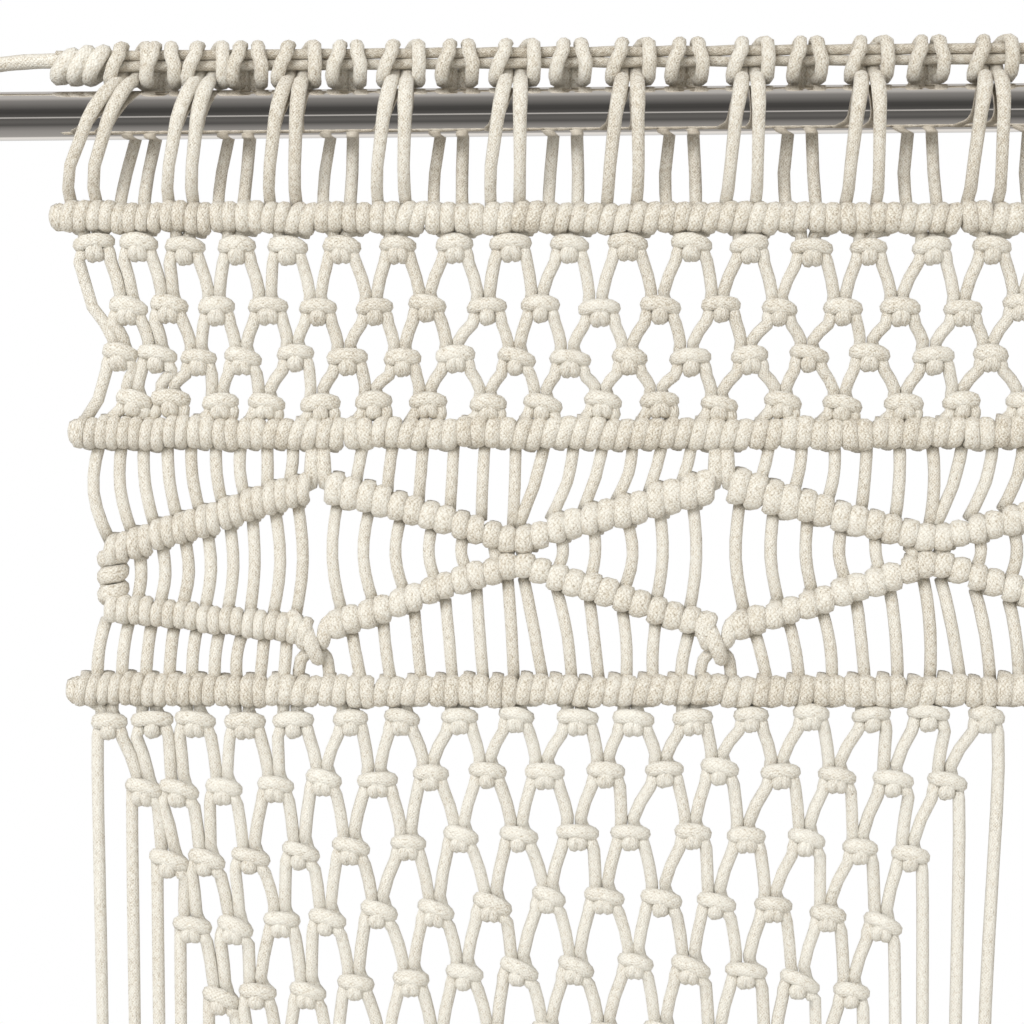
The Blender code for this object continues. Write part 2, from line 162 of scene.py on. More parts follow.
def curve_through(route):
    """Centres of the rings along a smooth curve through the route's points, close
    together where it bends."""
    points = np.asarray(route, float)
    chords = np.diff(points[:, :3], axis=0)
    lengths = np.linalg.norm(chords, axis=1)
    steps = np.sqrt(lengths)[:, None]
    slopes = np.diff(points, axis=0) / steps
    tangents = np.empty_like(points)
    tangents[0], tangents[-1] = slopes[0], slopes[-1]
    weights = steps[:-1] / (steps[:-1] + steps[1:])
    tangents[1:-1] = slopes[:-1] * (1 - weights) + slopes[1:] * weights
    made = [points[:1]]
    # A smooth cubic from each point to the next.
    for i, step in enumerate(steps[:, 0]):
        before, after = tangents[i, :3], tangents[i + 1, :3]
        chord = chords[i] / lengths[i]
        turn = 0.0
        for direction in (before, after):
            cosine = direction @ chord / (np.linalg.norm(direction) + 1e-12)
            turn += math.acos(max(-1.0, min(1.0, cosine)))
        count = max(1, round(turn / MOST_TURN), math.ceil(lengths[i] / LONGEST_STEP))
        t = (np.arange(1, count + 1) / count)[:, None]
        made.append(
            (1 + 2 * t) * (1 - t) ** 2 * points[i]
            + t * (1 - t) ** 2 * step * tangents[i]
            + t**2 * (3 - 2 * t) * points[i + 1]
            + t**2 * (t - 1) * step * tangents[i + 1]
        )
    return np.concatenate(made)


def tube(centres, diameter, round_end):
    """The points of one cord, with a ring at each centre and a point that closes each
    end, and how far along the cord each ring is."""
    places, wide, tall = centres[:, :3], centres[:, 3], centres[:, 4]
    if round_end:
        away = places[-1] - places[-2]
        away /= np.linalg.norm(away)
        places = np.vstack([places, places[-1] + away * diameter * ROUND_STEP])
        wide, tall = np.append(wide, wide[-1]), np.append(tall, tall[-1])
    directions = np.gradient(places, axis=0)
    directions /= np.linalg.norm(directions, axis=1)[:, None]
    # Each ring's side is carried on from the ring before, so that the cord isn't twisted.
    across = np.empty_like(places)
    side = np.cross(directions[0], ASKEW)
    for i, direction in enumerate(directions):
        side = side - direction * (side @ direction)
        side = side / np.linalg.norm(side)
        across[i] = side
    up = np.cross(directions, across)
    angles = 2 * math.pi * np.arange(SIDES) / SIDES
    radii = diameter / 2 * random.uniform(1 - UNEVEN, 1 + UNEVEN, len(places))
    if round_end:
        radii[-1] *= ROUND_RING
    offsets = radii[:, None, None] * (
        np.cos(angles)[None, :, None] * across[:, None] + np.sin(angles)[None, :, None] * up[:, None]
    )
    # Cord that is pressed wider or taller gets thinner from front to back.
    offsets[:, :, 0] *= wide[:, None]
    offsets[:, :, 2] *= tall[:, None]
    offsets[:, :, 1] /= (wide * tall)[:, None]
    rings = (places[:, None] + offsets).reshape(-1, 3)
    beyond = diameter * ROUND_POINT if round_end else 0.0
    ends = np.array([places[0], places[-1] + directions[-1] * beyond])
    run = np.concatenate([[0], np.linalg.norm(np.diff(places, axis=0), axis=1).cumsum()])
    return np.vstack([rings, ends]), run


def cord_mesh(name, routes, diameter=CORD, round_end=False, painted_light=0.0):
    """One mesh of all the cords in routes, each a list of points. The map called
    braid holds how far round the cord, and how far along it, each corner is. Each cord
    gets a random tone, and the last argument adds painted light and shade to the whole
    piece: above 0 it is painted lighter, below 0 it gets painted shade."""
    points, faces, corners, braid, tone_and_painted_light = [], [], [], [], []
    first = 0
    for route in routes:
        cord_points, run = tube(curve_through(route), diameter, round_end)
        rings = len(run)
        i, j = np.meshgrid(np.arange(rings - 1), np.arange(SIDES), indexing="ij")
        i, j = i.ravel(), j.ravel()
        k = (j + 1) % SIDES
        quads = np.stack([i * SIDES + j, i * SIDES + k, (i + 1) * SIDES + k, (i + 1) * SIDES + j], 1)
        around = np.stack([j, j + 1, j + 1, j], 1) / SIDES
        along = np.stack([run[i], run[i], run[i + 1], run[i + 1]], 1) / diameter
        along = along + random.uniform(0, 50)
        faces.append(quads + first)
        braid.append(np.stack([around, along], 2).reshape(-1, 2))
        ring = np.arange(SIDES)
        after = (ring + 1) % SIDES
        last = (rings - 1) * SIDES
        cap_a = np.stack([after, ring, np.full(SIDES, rings * SIDES)], 1)
        cap_b = np.stack([last + ring, last + after, np.full(SIDES, rings * SIDES + 1)], 1)
        corners.append(np.vstack([cap_a, cap_b]) + first)
        points.append(cord_points)
        tone_and_painted_light.append(np.full(len(cord_points), random.uniform() + painted_light))
        first += len(cord_points)
    points = np.concatenate(points)
    quads, caps = np.concatenate(faces), np.concatenate(corners)
    mesh = bpy.data.meshes.new(name)
    mesh.vertices.add(len(points))
    mesh.vertices.foreach_set("co", points.astype(np.float32).ravel())
    mesh.loops.add(quads.size + caps.size)
    face_points = np.concatenate([quads.ravel(), caps.ravel()])
    mesh.loops.foreach_set("vertex_index", face_points.astype(np.int32))
    mesh.polygons.add(len(quads) + len(caps))
    starts = np.concatenate([np.arange(len(quads)) * 4, quads.size + np.arange(len(caps)) * 3])
    mesh.polygons.foreach_set("loop_start", starts.astype(np.int32))
    # Each corner of a cut end gets a small patch of the braid.
    cap_braid = np.tile([[0.0, 0.0], [0.12, 0.0], [0.06, 0.3]], (len(caps), 1))
    layer = mesh.uv_layers.new(name="braid")
    layer.data.foreach_set("uv", np.concatenate([*braid, cap_braid]).astype(np.float32).ravel())
    shade = mesh.attributes.new("tone_and_painted_light", "FLOAT", "POINT")
    shade.data.foreach_set("value", np.concatenate(tone_and_painted_light).astype(np.float32))
    mesh.update(calc_edges=True)
    mesh.validate()
    mesh.shade_smooth()
    mesh.materials.append(cotton)
    made = bpy.data.objects.new(name, mesh)
    bpy.context.scene.collection.objects.link(made)
    return made


def maths_for(tree):
    """Gives a function that adds a maths node to a tree of nodes, and returns what
    the node works out."""

    def maths(kind, a, b=None):
        node = tree.nodes.new("ShaderNodeMath")
        node.operation = kind
        for socket, value in zip(node.inputs, (a, b)):
            if isinstance(value, (int, float)):
                socket.default_value = value
            elif value is not None:
                tree.links.new(value, socket)
        return node.outputs[0]

    return maths


def cotton_material():
    """Undyed cotton in a soft round braid, worn a little woolly. Its plaits are hard to
    tell apart. Its colour has painted shade in the crevices between the plaits, and
    flecks of loose yarn that are partly their own tone and partly painted highlight
    and painted shade."""
    made = bpy.data.materials.new("cotton_braid")
    made.use_nodes = True
    nodes, links = made.node_tree.nodes, made.node_tree.links
    shader = nodes["Principled BSDF"]
    maths = maths_for(made.node_tree)
    place = nodes.new("ShaderNodeTexCoord")

    def noise(scale, detail, vector=None):
        node = nodes.new("ShaderNodeTexNoise")
        node.inputs["Scale"].default_value = scale
        node.inputs["Detail"].default_value = detail
        node.inputs["Roughness"].default_value = 0.65
        links.new(vector or place.outputs["Object"], node.inputs["Vector"])
        return node.outputs["Fac"]

    def blend(*parts):
        """The sum of some values, each with its weight."""
        total = None
        for value, weight in parts:
            weighted = maths("MULTIPLY", value, weight)
            total = weighted if total is None else maths("ADD", total, weighted)
        return total

    fluff = noise(2300, 1)
    tufts = noise(700, 2)
    patches = noise(90, 2)

    # The braid's own coordinates, pushed about a little so that no two plaits match.
    coordinates = nodes.new("ShaderNodeUVMap")
    coordinates.uv_map = "braid"
    split = nodes.new("ShaderNodeSeparateXYZ")
    links.new(coordinates.outputs["UV"], split.inputs["Vector"])
    plaits_round, plaits_along, push = 12.0, 3.6, 2.0
    pushed = maths("MULTIPLY", maths("SUBTRACT", tufts, 0.5), push)
    around = maths("ADD", maths("MULTIPLY", split.outputs["X"], plaits_round), pushed)
    along = maths("MULTIPLY", split.outputs["Y"], plaits_along)
    one_way = maths("ADD", around, along)
    other_way = maths("SUBTRACT", around, along)
    ridge_a = maths("SINE", maths("MULTIPLY", maths("FRACT", one_way), math.pi))
    ridge_b = maths("SINE", maths("MULTIPLY", maths("FRACT", other_way), math.pi))
    plait = maths("POWER", maths("MULTIPLY", ridge_a, ridge_b), 0.5)

    # Yarns that lie nearly along the cord.
    yarns_round, yarns_along = 26.0, 2.2
    yarns = nodes.new("ShaderNodeCombineXYZ")
    links.new(maths("MULTIPLY", split.outputs["X"], yarns_round), yarns.inputs["X"])
    links.new(maths("MULTIPLY", split.outputs["Y"], yarns_along), yarns.inputs["Y"])
    yarn = noise(1.0, 3, yarns.outputs["Vector"])

    relief = blend((plait, 0.5), (yarn, 1.0), (tufts, 0.5), (fluff, 0.7))
    bump = nodes.new("ShaderNodeBump")
    bump.inputs["Strength"].default_value = 0.85
    bump.inputs["Distance"].default_value = 0.42 * MM
    links.new(relief, bump.inputs["Height"])
    links.new(bump.outputs["Normal"], shader.inputs["Normal"])

    # The tone attribute holds each cord's random tone plus the painted light and painted shade of its
    # piece.
    own = nodes.new("ShaderNodeAttribute")
    own.attribute_name = "tone_and_painted_light"
    # In the colour the plait term is painted shade in the braid's crevices; the yarn, tuft and fluff
    # flecks are partly the cotton's own tone, partly painted highlight and shade.
    weave_and_painted_shade = ((plait, 0.2), (yarn, 0.56), (tufts, 0.3), (fluff, 0.38))
    light = blend(*weave_and_painted_shade, (patches, 0.14), (own.outputs["Fac"], 0.06))
    colours = nodes.new("ShaderNodeValToRGB")
    ramp = colours.color_ramp
    ramp.elements[0].position = 0.58
    ramp.elements[0].color = (0.40, 0.335, 0.25, 1)
    ramp.elements[1].position = 1.0
    ramp.elements[1].color = (0.92, 0.90, 0.828, 1)
    for position, colour in ((0.73, (0.68, 0.62, 0.515, 1)), (0.84, (0.82, 0.782, 0.70, 1))):
        stop = ramp.elements.new(position)
        stop.color = colour
    links.new(light, colours.inputs["Fac"])
    links.new(colours.outputs["Color"], shader.inputs["Base Color"])
    shader.inputs["Roughness"].default_value = 0.95
    shader.inputs["Sheen Weight"].default_value = 0.2
    shader.inputs["Sheen Roughness"].default_value = 0.6
    shader.inputs["Specular IOR Level"].default_value = 0.15
    return made


cotton = cotton_material()

# Every working cord is folded in two over the header, and starts a column of knots.
HEADS = 52
EDGE_PITCH = 14.6 * MM  # between two columns at the sides
MIDDLE_PITCH = 20.4 * MM  # and in the middle
EASE = 5.0  # columns over which the pitch grows


def column_places():
    """The x of each column, close together at the sides and wider in the middle."""
    pitches = []
    for i in range(HEADS - 1):
        from_side = min(i, HEADS - 2 - i)
        narrowing = (MIDDLE_PITCH - EDGE_PITCH) * math.exp(-from_side / EASE)
        pitches.append(MIDDLE_PITCH - narrowing)
    places = [rod_low.x + (ROD_LENGTH - sum(pitches)) / 2]
    for pitch in pitches:
        places.append(places[-1] + pitch)
    return places


COLUMNS = column_places()
LEFT, RIGHT = COLUMNS[0], COLUMNS[-1]

header_low, header_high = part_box("header")
HEADER_Z = (header_low.z + header_high.z) / 2
TAIL_TOP = 18.2 * MM  # where the loose end leaves the header
TAIL_FALL = 5.8 * MM  # from there to the tie
TAIL_BEND = 2.6  # it falls most close to the tie
TAIL_POINTS = 16
TAIL_TUCK = 6 * MM  # of it lies hidden in the header's first turns

for side, turn in (("left", 1), ("right", -1)):
    tail_low, tail_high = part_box("header_tail_" + side)
    start = (tail_high.x if turn > 0 else tail_low.x) + turn * TAIL_TUCK
    end = tail_low.x if turn > 0 else tail_high.x
    route = []
    for share in np.linspace(0, 1, TAIL_POINTS):
        route.append(at(start + share * (end - start), 0.0, TAIL_TOP - TAIL_FALL * share**TAIL_BEND))
    tail = cord_mesh("header_end_" + side, [route], HEADER_CORD)
    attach(tail, "root")
    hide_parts("header_tail_" + side)


# --- Ties of the header cord ---
# At each side the end of the header's cotton cord is wound two and a half times round
# the rod and pulled tight, so that the header can't slip along the chrome.
TIE_TURNS = 2.6
TIE_REACH = 3.0 * MM  # along the rod, from the tie's middle
TIE_STEPS = 36


def tie_route(middle, turn):
    """Turns round the rod that start on top of it, where the tail comes in."""
    route = []
    radius = ROD_RADIUS + HEADER_CORD / 2 + 0.2 * MM
    for share in np.linspace(0, 1, TIE_STEPS):
        angle = math.pi / 2 - 2 * math.pi * TIE_TURNS * share
        x = middle + turn * TIE_REACH * (1 - 2 * share)
        route.append(at(x, radius * math.cos(angle), radius * math.sin(angle)))
    return route


for side, turn in (("left", 1), ("right", -1)):
    tie_low, tie_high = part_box("header_tie_" + side)
    middle = (tie_low.x + tie_high.x) / 2
    tie = cord_mesh("header_knot_" + side, [tie_route(middle, turn)], HEADER_CORD)
    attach(tie, "root")
    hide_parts("header_tie_" + side)


# --- Header with its heads ---
# The doubled header cord lies on top of the rod. Each of the 52 working cords, of the
# same cotton, is folded in two and looped over it, and passes the rod in front or behind.
HEADER_STRAND = 3.5 * MM
STRANDS_OUT = 24 * MM  # outside the outermost heads
STRANDS_UP = 1.5 * MM  # the two strands lie above the middle of their heads
HEAD_SQUEEZE = 11.5 * MM  # how far the first head sits inside its column
SQUEEZE_EASE = 3.2  # columns over which that fades
BAR_HALF_HEIGHT = 5.2 * MM
_, bar_1_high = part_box("bar_1")
BAR_1 = bar_1_high.z - BAR_HALF_HEIGHT
BAR_1_SPREAD = 2.6 * MM  # the first cord meets this bar further out than its column
SPREAD_EASE = 2.0  # cords over which that fades
DROOP = 3.5 * MM  # the middle of every bar hangs lower than its ends
STATIONS = 12  # a bar is straight between two of these, evenly spaced along it
CORDS = 2 * HEADS


def droop(x):
    """How far the knotting hangs down at x, along straight lengths."""
    along = min(max((x - LEFT) / (RIGHT - LEFT), 0.0), 1.0) * STATIONS
    before = min(int(along), STATIONS - 1)
    z0, z1 = (-DROOP * math.sin(math.pi * i / STATIONS) for i in (before, before + 1))
    return z0 + (z1 - z0) * (along - before)


def head_x(i):
    """The heads near the ends are pushed in towards the middle of the header."""
    from_left = math.exp(-i / SQUEEZE_EASE)
    from_right = math.exp(-(HEADS - 1 - i) / SQUEEZE_EASE)
    return COLUMNS[i] + HEAD_SQUEEZE * (from_left - from_right)


def column_x(place):
    """The x of a place counted in columns, such as 4.5 for half way from 4 to 5."""
    i = max(0, min(int(place), HEADS - 2))
    return COLUMNS[i] + (place - i) * (COLUMNS[i + 1] - COLUMNS[i])


def cord_x(k):
    """Where cord k of the 104 crosses a bar."""
    return column_x(k / 2 - 0.25)


def bar_1_x(k):
    """Where cord k crosses the first bar, which is stretched a little at its ends."""
    from_left = math.exp(-k / SPREAD_EASE)
    from_right = math.exp(-(CORDS - 1 - k) / SPREAD_EASE)
    return cord_x(k) - BAR_1_SPREAD * (from_left - from_right)


def turn_width(place_x, k):
    """The width of one turn of cord k in a bar, half its room between its neighbours."""
    return (place_x(k + 0.5) - place_x(k - 0.5)) / 2


ENTRY = 0.5  # cords go in behind a bar this many turns left of their middle

# A head, from the middle of its loop at the back to a working end, right side. The
# columns are: across in cord widths, or the name of a width below; y, and height
# above the header's centre, in millimetres; and how far it is pressed wide and tall.
HEAD_SHAPE = (
    (0.00, 6.6, -3.2, 1.0, 1.0),
    (0.55, 6.3, -4.3, 1.0, 1.0),
    (0.95, 4.2, -5.7, 1.0, 1.0),
    ("low", 0.2, -6.2, 1.0, 0.94),
    ("low", -3.4, -4.6, 1.12, 1.0),
    ("mid", -4.6, -0.6, 1.16, 1.0),
    ("top", -4.2, 3.0, 1.14, 1.0),
    ("top", -2.6, 5.5, 1.10, 0.9),
    ("end", 0.3, 6.4, 1.05, 0.78),
    (0.72, 3.4, 4.9, 1.0, 1.0),
    (0.60, 4.5, 1.4, 1.1, 1.0),
    (0.54, 4.0, -2.0, 1.2, 1.0),
)
# The widths of the left half, -1, and of the right half, 1.
FRONT_HEAD = {
    -1: {"low": 1.42, "mid": 1.12, "top": 0.66, "end": 0.50},
    1: {"low": 1.42, "mid": 1.50, "top": 1.46, "end": 1.20},
}
BACK_HEAD = {
    -1: {"low": 1.22, "mid": 1.05, "top": 0.62, "end": 0.50},
    1: {"low": 1.05, "mid": 1.12, "top": 0.84, "end": 0.70},
}
# Strands from a head down past the rod: y outwards and height, in millimetres, and
# how far they are pressed wide.
FRONT_STRAND = (
    (0.5, -5.4, 1.1),
    (4.6, -6.4, 1.2),
    (8.7, -9.8, 1.26),
    (10.6, -15.2, 1.2),
    (10.5, -19.5, 1.1),
)
BACK_STRAND = (
    (5.4, -4.2, 1.35),
    (8.2, -7.6, 1.35),
    (10.3, -12.6, 1.2),
    (10.6, -17.0, 1.1),
    (9.8, -22.0, 1.0),
)
STRAND_OUT = 0.52  # of a cord's width, from the head's middle to where a strand starts
STRAND_DOWN = 4 * MM  # from the header's centre to there
# Above the first bar: height, y outwards, and how much of its own wobble a strand has.
STRAND_LOW = ((13.0, 7.8, 1.0), (6.0, 4.4, 0.5))
HANG_BEND = 1.9  # the strands lean most next to their head, and hang straight lower down


def head_side(i, hand, middle, spread):
    """One half of a head, from the back of its loop to its working end, and on down
    to the first bar. hand is -1 for the left half and 1 for the right half."""
    in_front = i % 2 == 0
    shape = (FRONT_HEAD if in_front else BACK_HEAD)[hand]
    route = []
    for across, y, z, wide, tall in HEAD_SHAPE:
        across = shape.get(across, across)
        x = middle + hand * across * CORD * spread
        route.append(at(x, y * MM, HEADER_Z + z * MM, wide, tall))
    outwards = -1 if in_front else 1
    k = 2 * i + (1 if hand > 0 else 0)
    low_x = bar_1_x(k) - ENTRY * turn_width(bar_1_x, k)
    low_z = BAR_1 + droop(low_x) + 3.0 * MM
    top_x = middle + hand * STRAND_OUT * CORD
    top_z = HEADER_Z - STRAND_DOWN
    wobble = random.uniform(-0.4, 0.4) * MM

    def hanging(z, y, sway=0.0, wide=1.0):
        down = (top_z - z) / (top_z - low_z)
        x = top_x + (1 - (1 - down) ** HANG_BEND) * (low_x - top_x) + sway
        return at(x, y, z, wide)

    for y, z, wide in FRONT_STRAND if in_front else BACK_STRAND:
        route.append(hanging(HEADER_Z + z * MM, outwards * y * MM, wide=wide))
    for z, y, share in STRAND_LOW:
        route.append(hanging(low_z + z * MM, outwards * y * MM, share * wobble))
    route.append(at(low_x, 2.4 * MM, low_z + 2.4 * MM))
    route.append(at(low_x, 3.6 * MM, low_z))
    return route


head_routes = []
for i in range(HEADS):
    middle = head_x(i) + random.uniform(-0.5, 0.5) * MM
    spread = 1.0 + random.uniform(-0.06, 0.06)
    left_half = head_side(i, -1, middle, spread)
    right_half = head_side(i, 1, middle, spread)
    head_routes.append(left_half[::-1] + right_half[1:])
# The heads and their strands are painted a little darker: painted shade.
heads = cord_mesh("heads_and_strands", head_routes, painted_light=-0.6)
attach(heads, "root")
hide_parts("header", "header_strands_front", "header_strands_back")


def header_strands():
    """The two strands of the header, one above the other, with a gentle wander."""
    routes = []
    start, end = head_x(0) - STRANDS_OUT, head_x(HEADS - 1) + STRANDS_OUT
    for height in (-HEADER_STRAND / 2, HEADER_STRAND / 2):
        route = []
        for x in np.linspace(start, end, 2 * HEADS):
            wander = 0.25 * MM * math.sin(310 * x + height * 900)
            route.append(at(x, 0.2 * wander, HEADER_Z + STRANDS_UP + height + wander))
        routes.append(route)
    return routes


WRAP_CORD = 5.4 * MM
WRAPS_FROM, WRAPS_TO = 22.0 * MM, 7.8 * MM  # outside the first head's middle
WRAP_TURNS = 2.8
WRAP_LEAN = 3.6 * MM
WRAP_RADIUS, WRAP_GROWS = 3.5, 0.8  # at the outermost turn, and further in, in millimetres
WRAP_STEPS = 40


def starting_wraps(turn):
    """Turns of the header cord round itself, outside the first head. The outermost
    is the tightest, and all lean."""
    first = head_x(0) if turn > 0 else head_x(HEADS - 1)
    route = []
    for share in np.linspace(0, 1, WRAP_STEPS):
        angle = math.pi / 2 + 2 * math.pi * WRAP_TURNS * share
        outside = WRAPS_FROM + share * (WRAPS_TO - WRAPS_FROM)
        radius = (WRAP_RADIUS + WRAP_GROWS * min(1.0, 3 * share)) * MM
        x = first - turn * outside + WRAP_LEAN * math.sin(angle)
        z = HEADER_Z + 0.1 * MM + radius * math.sin(angle)
        route.append(at(x, radius * math.cos(angle), z, 1.08))
    return route


# The header's two strands are painted darker still: painted shade for the shadow that they lie in.
header = cord_mesh("header_cord", header_strands(), HEADER_STRAND, painted_light=-1.5)
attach(header, "root")
wraps = cord_mesh("header_wraps", [starting_wraps(1), starting_wraps(-1)], WRAP_CORD)
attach(wraps, "root")


# --- Bars of hitches ---
# Each of the 104 cotton cords is hitched twice round a carrier cord, so that a bar
# shows two upright turns of every cord, pulled tight against the next.

# One cord round the carrier: across in turns, y and height in millimetres, and how
# far it is pressed wide and tall.
HITCH = (
    (-0.50, 3.2, 5.4, 1.0, 1.0),
    (-0.80, 4.2, 1.2, 1.0, 1.0),
    (-0.98, 2.9, -2.6, 1.0, 1.0),
    (-0.98, -1.4, -3.6, 1.04, 0.80),
    (-0.98, -3.9, -2.1, 1.0, 1.0),
    (-1.06, -4.3, 0.2, 1.0, 1.0),
    (-0.96, -3.8, 2.3, 1.0, 1.0),
    (-0.84, -1.4, 3.6, 1.04, 0.80),
    (-0.45, 2.4, 3.6, 1.0, 1.0),
    (0.20, 4.6, 0.2, 1.0, 1.0),
    (0.80, 2.6, -3.2, 1.0, 1.0),
    (0.98, -1.4, -3.6, 1.04, 0.80),
    (1.00, -3.9, -2.1, 1.0, 1.0),
    (0.93, -4.3, 0.2, 1.0, 1.0),
    (1.03, -3.8, 2.3, 1.0, 1.0),
    (1.04, -1.2, 3.6, 1.04, 0.80),
    (0.95, 3.0, 2.8, 1.0, 1.0),
    (0.50, 4.4, -0.8, 1.0, 1.0),
    (0.08, 3.0, -5.2, 1.0, 1.0),
)

LEAN, LEAN_SWING = 0.14, 0.2  # of the turns to the right, and how much that comes and goes
SLOPE_LEAN = 0.12  # how far they lean over with a sloping carrier
SLOPE_STEADIES = 6.0  # and how much less the rest of their lean is on it
SLOPE_SPREAD = 0.2  # turns on a slope show wider than their room along the bar


def hitch_route(x, width, line, size=1.0):
    """One cord's two turns round a carrier. line gives the carrier's height at an x,
    and width is that of one turn."""
    slope = (line(x + width) - line(x - width)) / (2 * width)
    # Neighbours lean together, in groups of no even width.
    shared = LEAN + LEAN_SWING * math.sin(90 * x + 3 * math.sin(31 * x))
    lean = shared / (1 + SLOPE_STEADIES * abs(slope)) + random.uniform(-0.08, 0.08)
    lean -= SLOPE_LEAN * slope
    lift = random.uniform(-0.5, 0.5) * MM
    size *= random.uniform(0.94, 1.08)
    press = width / CORD * random.uniform(1.08, 1.2) * (1 + SLOPE_SPREAD * abs(slope))
    route = []
    for across, y, z, wide, tall in HITCH:
        along = x + across * width / 2
        height = z * size * MM
        in_front = y < 2
        over = lean * height if in_front else 0.0
        wide = wide * press if in_front else 1.0
        route.append(at(along + over, y * MM, line(along) + height + lift, wide, tall))
    return route


KNOB_CORD = 5.4 * MM
KNOB_INSIDE = 2.4 * MM  # of the bar's end
KNOB_START, KNOB_TURN = 0.6, 2.3  # in half turns
KNOB_DEEP, KNOB_TALL, KNOB_LEAN = 2.9 * MM, 2.1 * MM, 0.5 * MM
KNOB_STEPS = 15


def knob_route(x, z, turn):
    """The single upright turn that closes each end of a bar."""
    route = []
    for share in np.linspace(0, 1, KNOB_STEPS):
        angle = math.pi * (KNOB_START + KNOB_TURN * share)
        lean = turn * KNOB_LEAN * (2 * share - 1)
        route.append(at(x + lean, KNOB_DEEP * math.cos(angle), z + KNOB_TALL * math.sin(angle)))
    return route


def make_bar(node, name, place_x):
    """A bar with its hitches, its carrier cord and the knobs at its ends. It returns
    the height of the bar's ends."""
    low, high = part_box(node)
    level = high.z - BAR_HALF_HEIGHT

    def line(x):
        return level + droop(x)

    routes = [hitch_route(place_x(k), turn_width(place_x, k), line) for k in range(CORDS)]
    # The turns of a bar, and the knobs at its ends, are painted darker: painted shade.
    turns = cord_mesh(name, routes, painted_light=-0.7)
    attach(turns, "root")
    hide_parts(node)
    start, end = low.x + KNOB_INSIDE, high.x - KNOB_INSIDE
    ends = [knob_route(start, level, 1), knob_route(end, level, -1)]
    knobs = cord_mesh(name + "_ends", ends, KNOB_CORD, painted_light=-0.7)
    inside = [at(x, 0.0, line(x)) for x in np.linspace(start, end, 2 * STATIONS)]
    carrier = cord_mesh(name + "_carrier", [inside])
    for piece in (knobs, carrier):
        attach(piece, "root")
    return level


make_bar("bar_1", "first_bar", bar_1_x)
BAR_2 = make_bar("bar_2", "second_bar", cord_x)
BAR_3 = make_bar("bar_3", "third_bar", cord_x)


# --- Upper net ---
# Four rows of knots in the same cotton cords, between the first two bars. Two
# neighbouring cords make a knot, and the next row ties each to its other neighbour.
UPPER_ROWS = (-9.3 * MM, -29.4 * MM, -45.9 * MM, -61.1 * MM)  # from the first bar's centre
ROW_PULLS = (0, 3.4 * MM, 7.4 * MM, 4.2 * MM)  # of each row's end knots, inwards
PULL_FADES = 2.2  # knots over which that fades
EDGE_OUT, EDGE_UP = 11.8 * MM, 0.5 * MM  # from every second row's first knot to the edge cord
UPPER_SLANTS = (2, 5, 5, 5)  # degrees that each row's knots lean, on the whole
# The two cords of a knot, in cord widths from its middle: x, y and z, and how far they
# are pressed wide and tall. The tying cord makes a broad turn across the front, and
# under it a smaller one, the throat.
STILL_CORD = (
    (-0.64, 0.18, 1.20, 1.0, 1.0),
    (-0.68, 0.32, 0.75, 1.0, 1.0),
    (-0.70, 0.38, 0.15, 1.0, 1.0),
    (-0.80, 0.06, -0.35, 1.0, 1.0),
    (-0.94, -0.10, -0.85, 1.0, 1.0),
    (-1.06, 0.00, -1.25, 1.0, 1.0),
)
TYING_CORD = (
    (0.24, 0.18, 1.20, 1.0, 1.0),
    (0.24, 0.38, 0.82, 1.0, 1.0),
    (0.42, 0.55, 0.38, 1.0, 1.0),
    (0.84, 0.42, 0.10, 1.0, 1.05),
    (1.04, -0.08, 0.06, 1.0, 1.12),
    (0.84, -0.52, 0.12, 1.0, 1.20),
    (0.42, -0.74, 0.20, 1.0, 1.24),
    (-0.06, -0.80, 0.24, 1.0, 1.25),
    (-0.54, -0.74, 0.20, 1.0, 1.22),
    (-0.92, -0.46, 0.12, 1.0, 1.18),
    (-1.02, 0.04, 0.02, 1.0, 1.08),
    (-0.68, 0.74, -0.08, 1.0, 1.0),
    (-0.30, 0.98, -0.34, 1.0, 1.0),
    (-0.24, -0.06, -0.96, 1.0, 1.0),
    (-0.28, -0.54, -0.66, 1.0, 1.0),
    (0.03, -0.56, -0.12, 1.0, 1.0),
    (0.34, -0.52, -0.66, 1.0, 1.0),
    (0.36, 0.00, -0.90, 1.0, 1.0),
    (0.58, 0.16, -0.52, 1.0, 1.0),
    (0.86, -0.12, -0.44, 1.0, 1.0),
    (1.02, -0.12, -0.90, 1.0, 1.0),
    (1.10, 0.00, -1.30, 1.0, 1.0),
)
THROAT_TOP, THROAT_SIDE = -0.15, 0.4  # points lower and nearer the middle are the throat's
LEG_DOWN, LEG_ACROSS = 0.5, 0.6  # half way down, a leg has gone most of its way across
TIED = 0.4  # half of the tied part's height
UNTIDY = 0.9 * MM  # how far knots sit from where they should


class Knot:
    """Where one knot of a net sits, how it leans, and how big, broad and plump it is,
    which is never quite the same twice."""

    def __init__(self, x, z, slant):
        self.x = x + random.uniform(-UNTIDY, UNTIDY)
        self.z = z + random.uniform(-UNTIDY, UNTIDY)
        self.lean = math.radians(slant + random.uniform(-10, 10))
        self.size = CORD * random.uniform(0.92, 1.04)
        self.breadth = random.uniform(0.94, 1.16)
        self.plump = random.uniform(0.5, 1.5)
        self.throat = random.uniform(0.35, 1.2)

    def route(self, shape):
        """The points of one of its two cords."""
        turned = []
        for x, y, z, wide, tall in shape:
            # Only the tied part leans. The cords come in from straight above it and
            # hang straight below it.
            bend = self.lean * max(0.0, 1.0 - max(0.0, abs(z) - TIED))
            x *= self.throat if z < THROAT_TOP and abs(x) < THROAT_SIDE else self.breadth
            across = x * math.cos(bend) + z * math.sin(bend)
            height = z * math.cos(bend) - x * math.sin(bend)
            place = (self.x + across * self.size, y * self.size, self.z + height * self.size)
            turned.append(at(*place, wide, 1 + (tall - 1) * self.plump))
        return turned


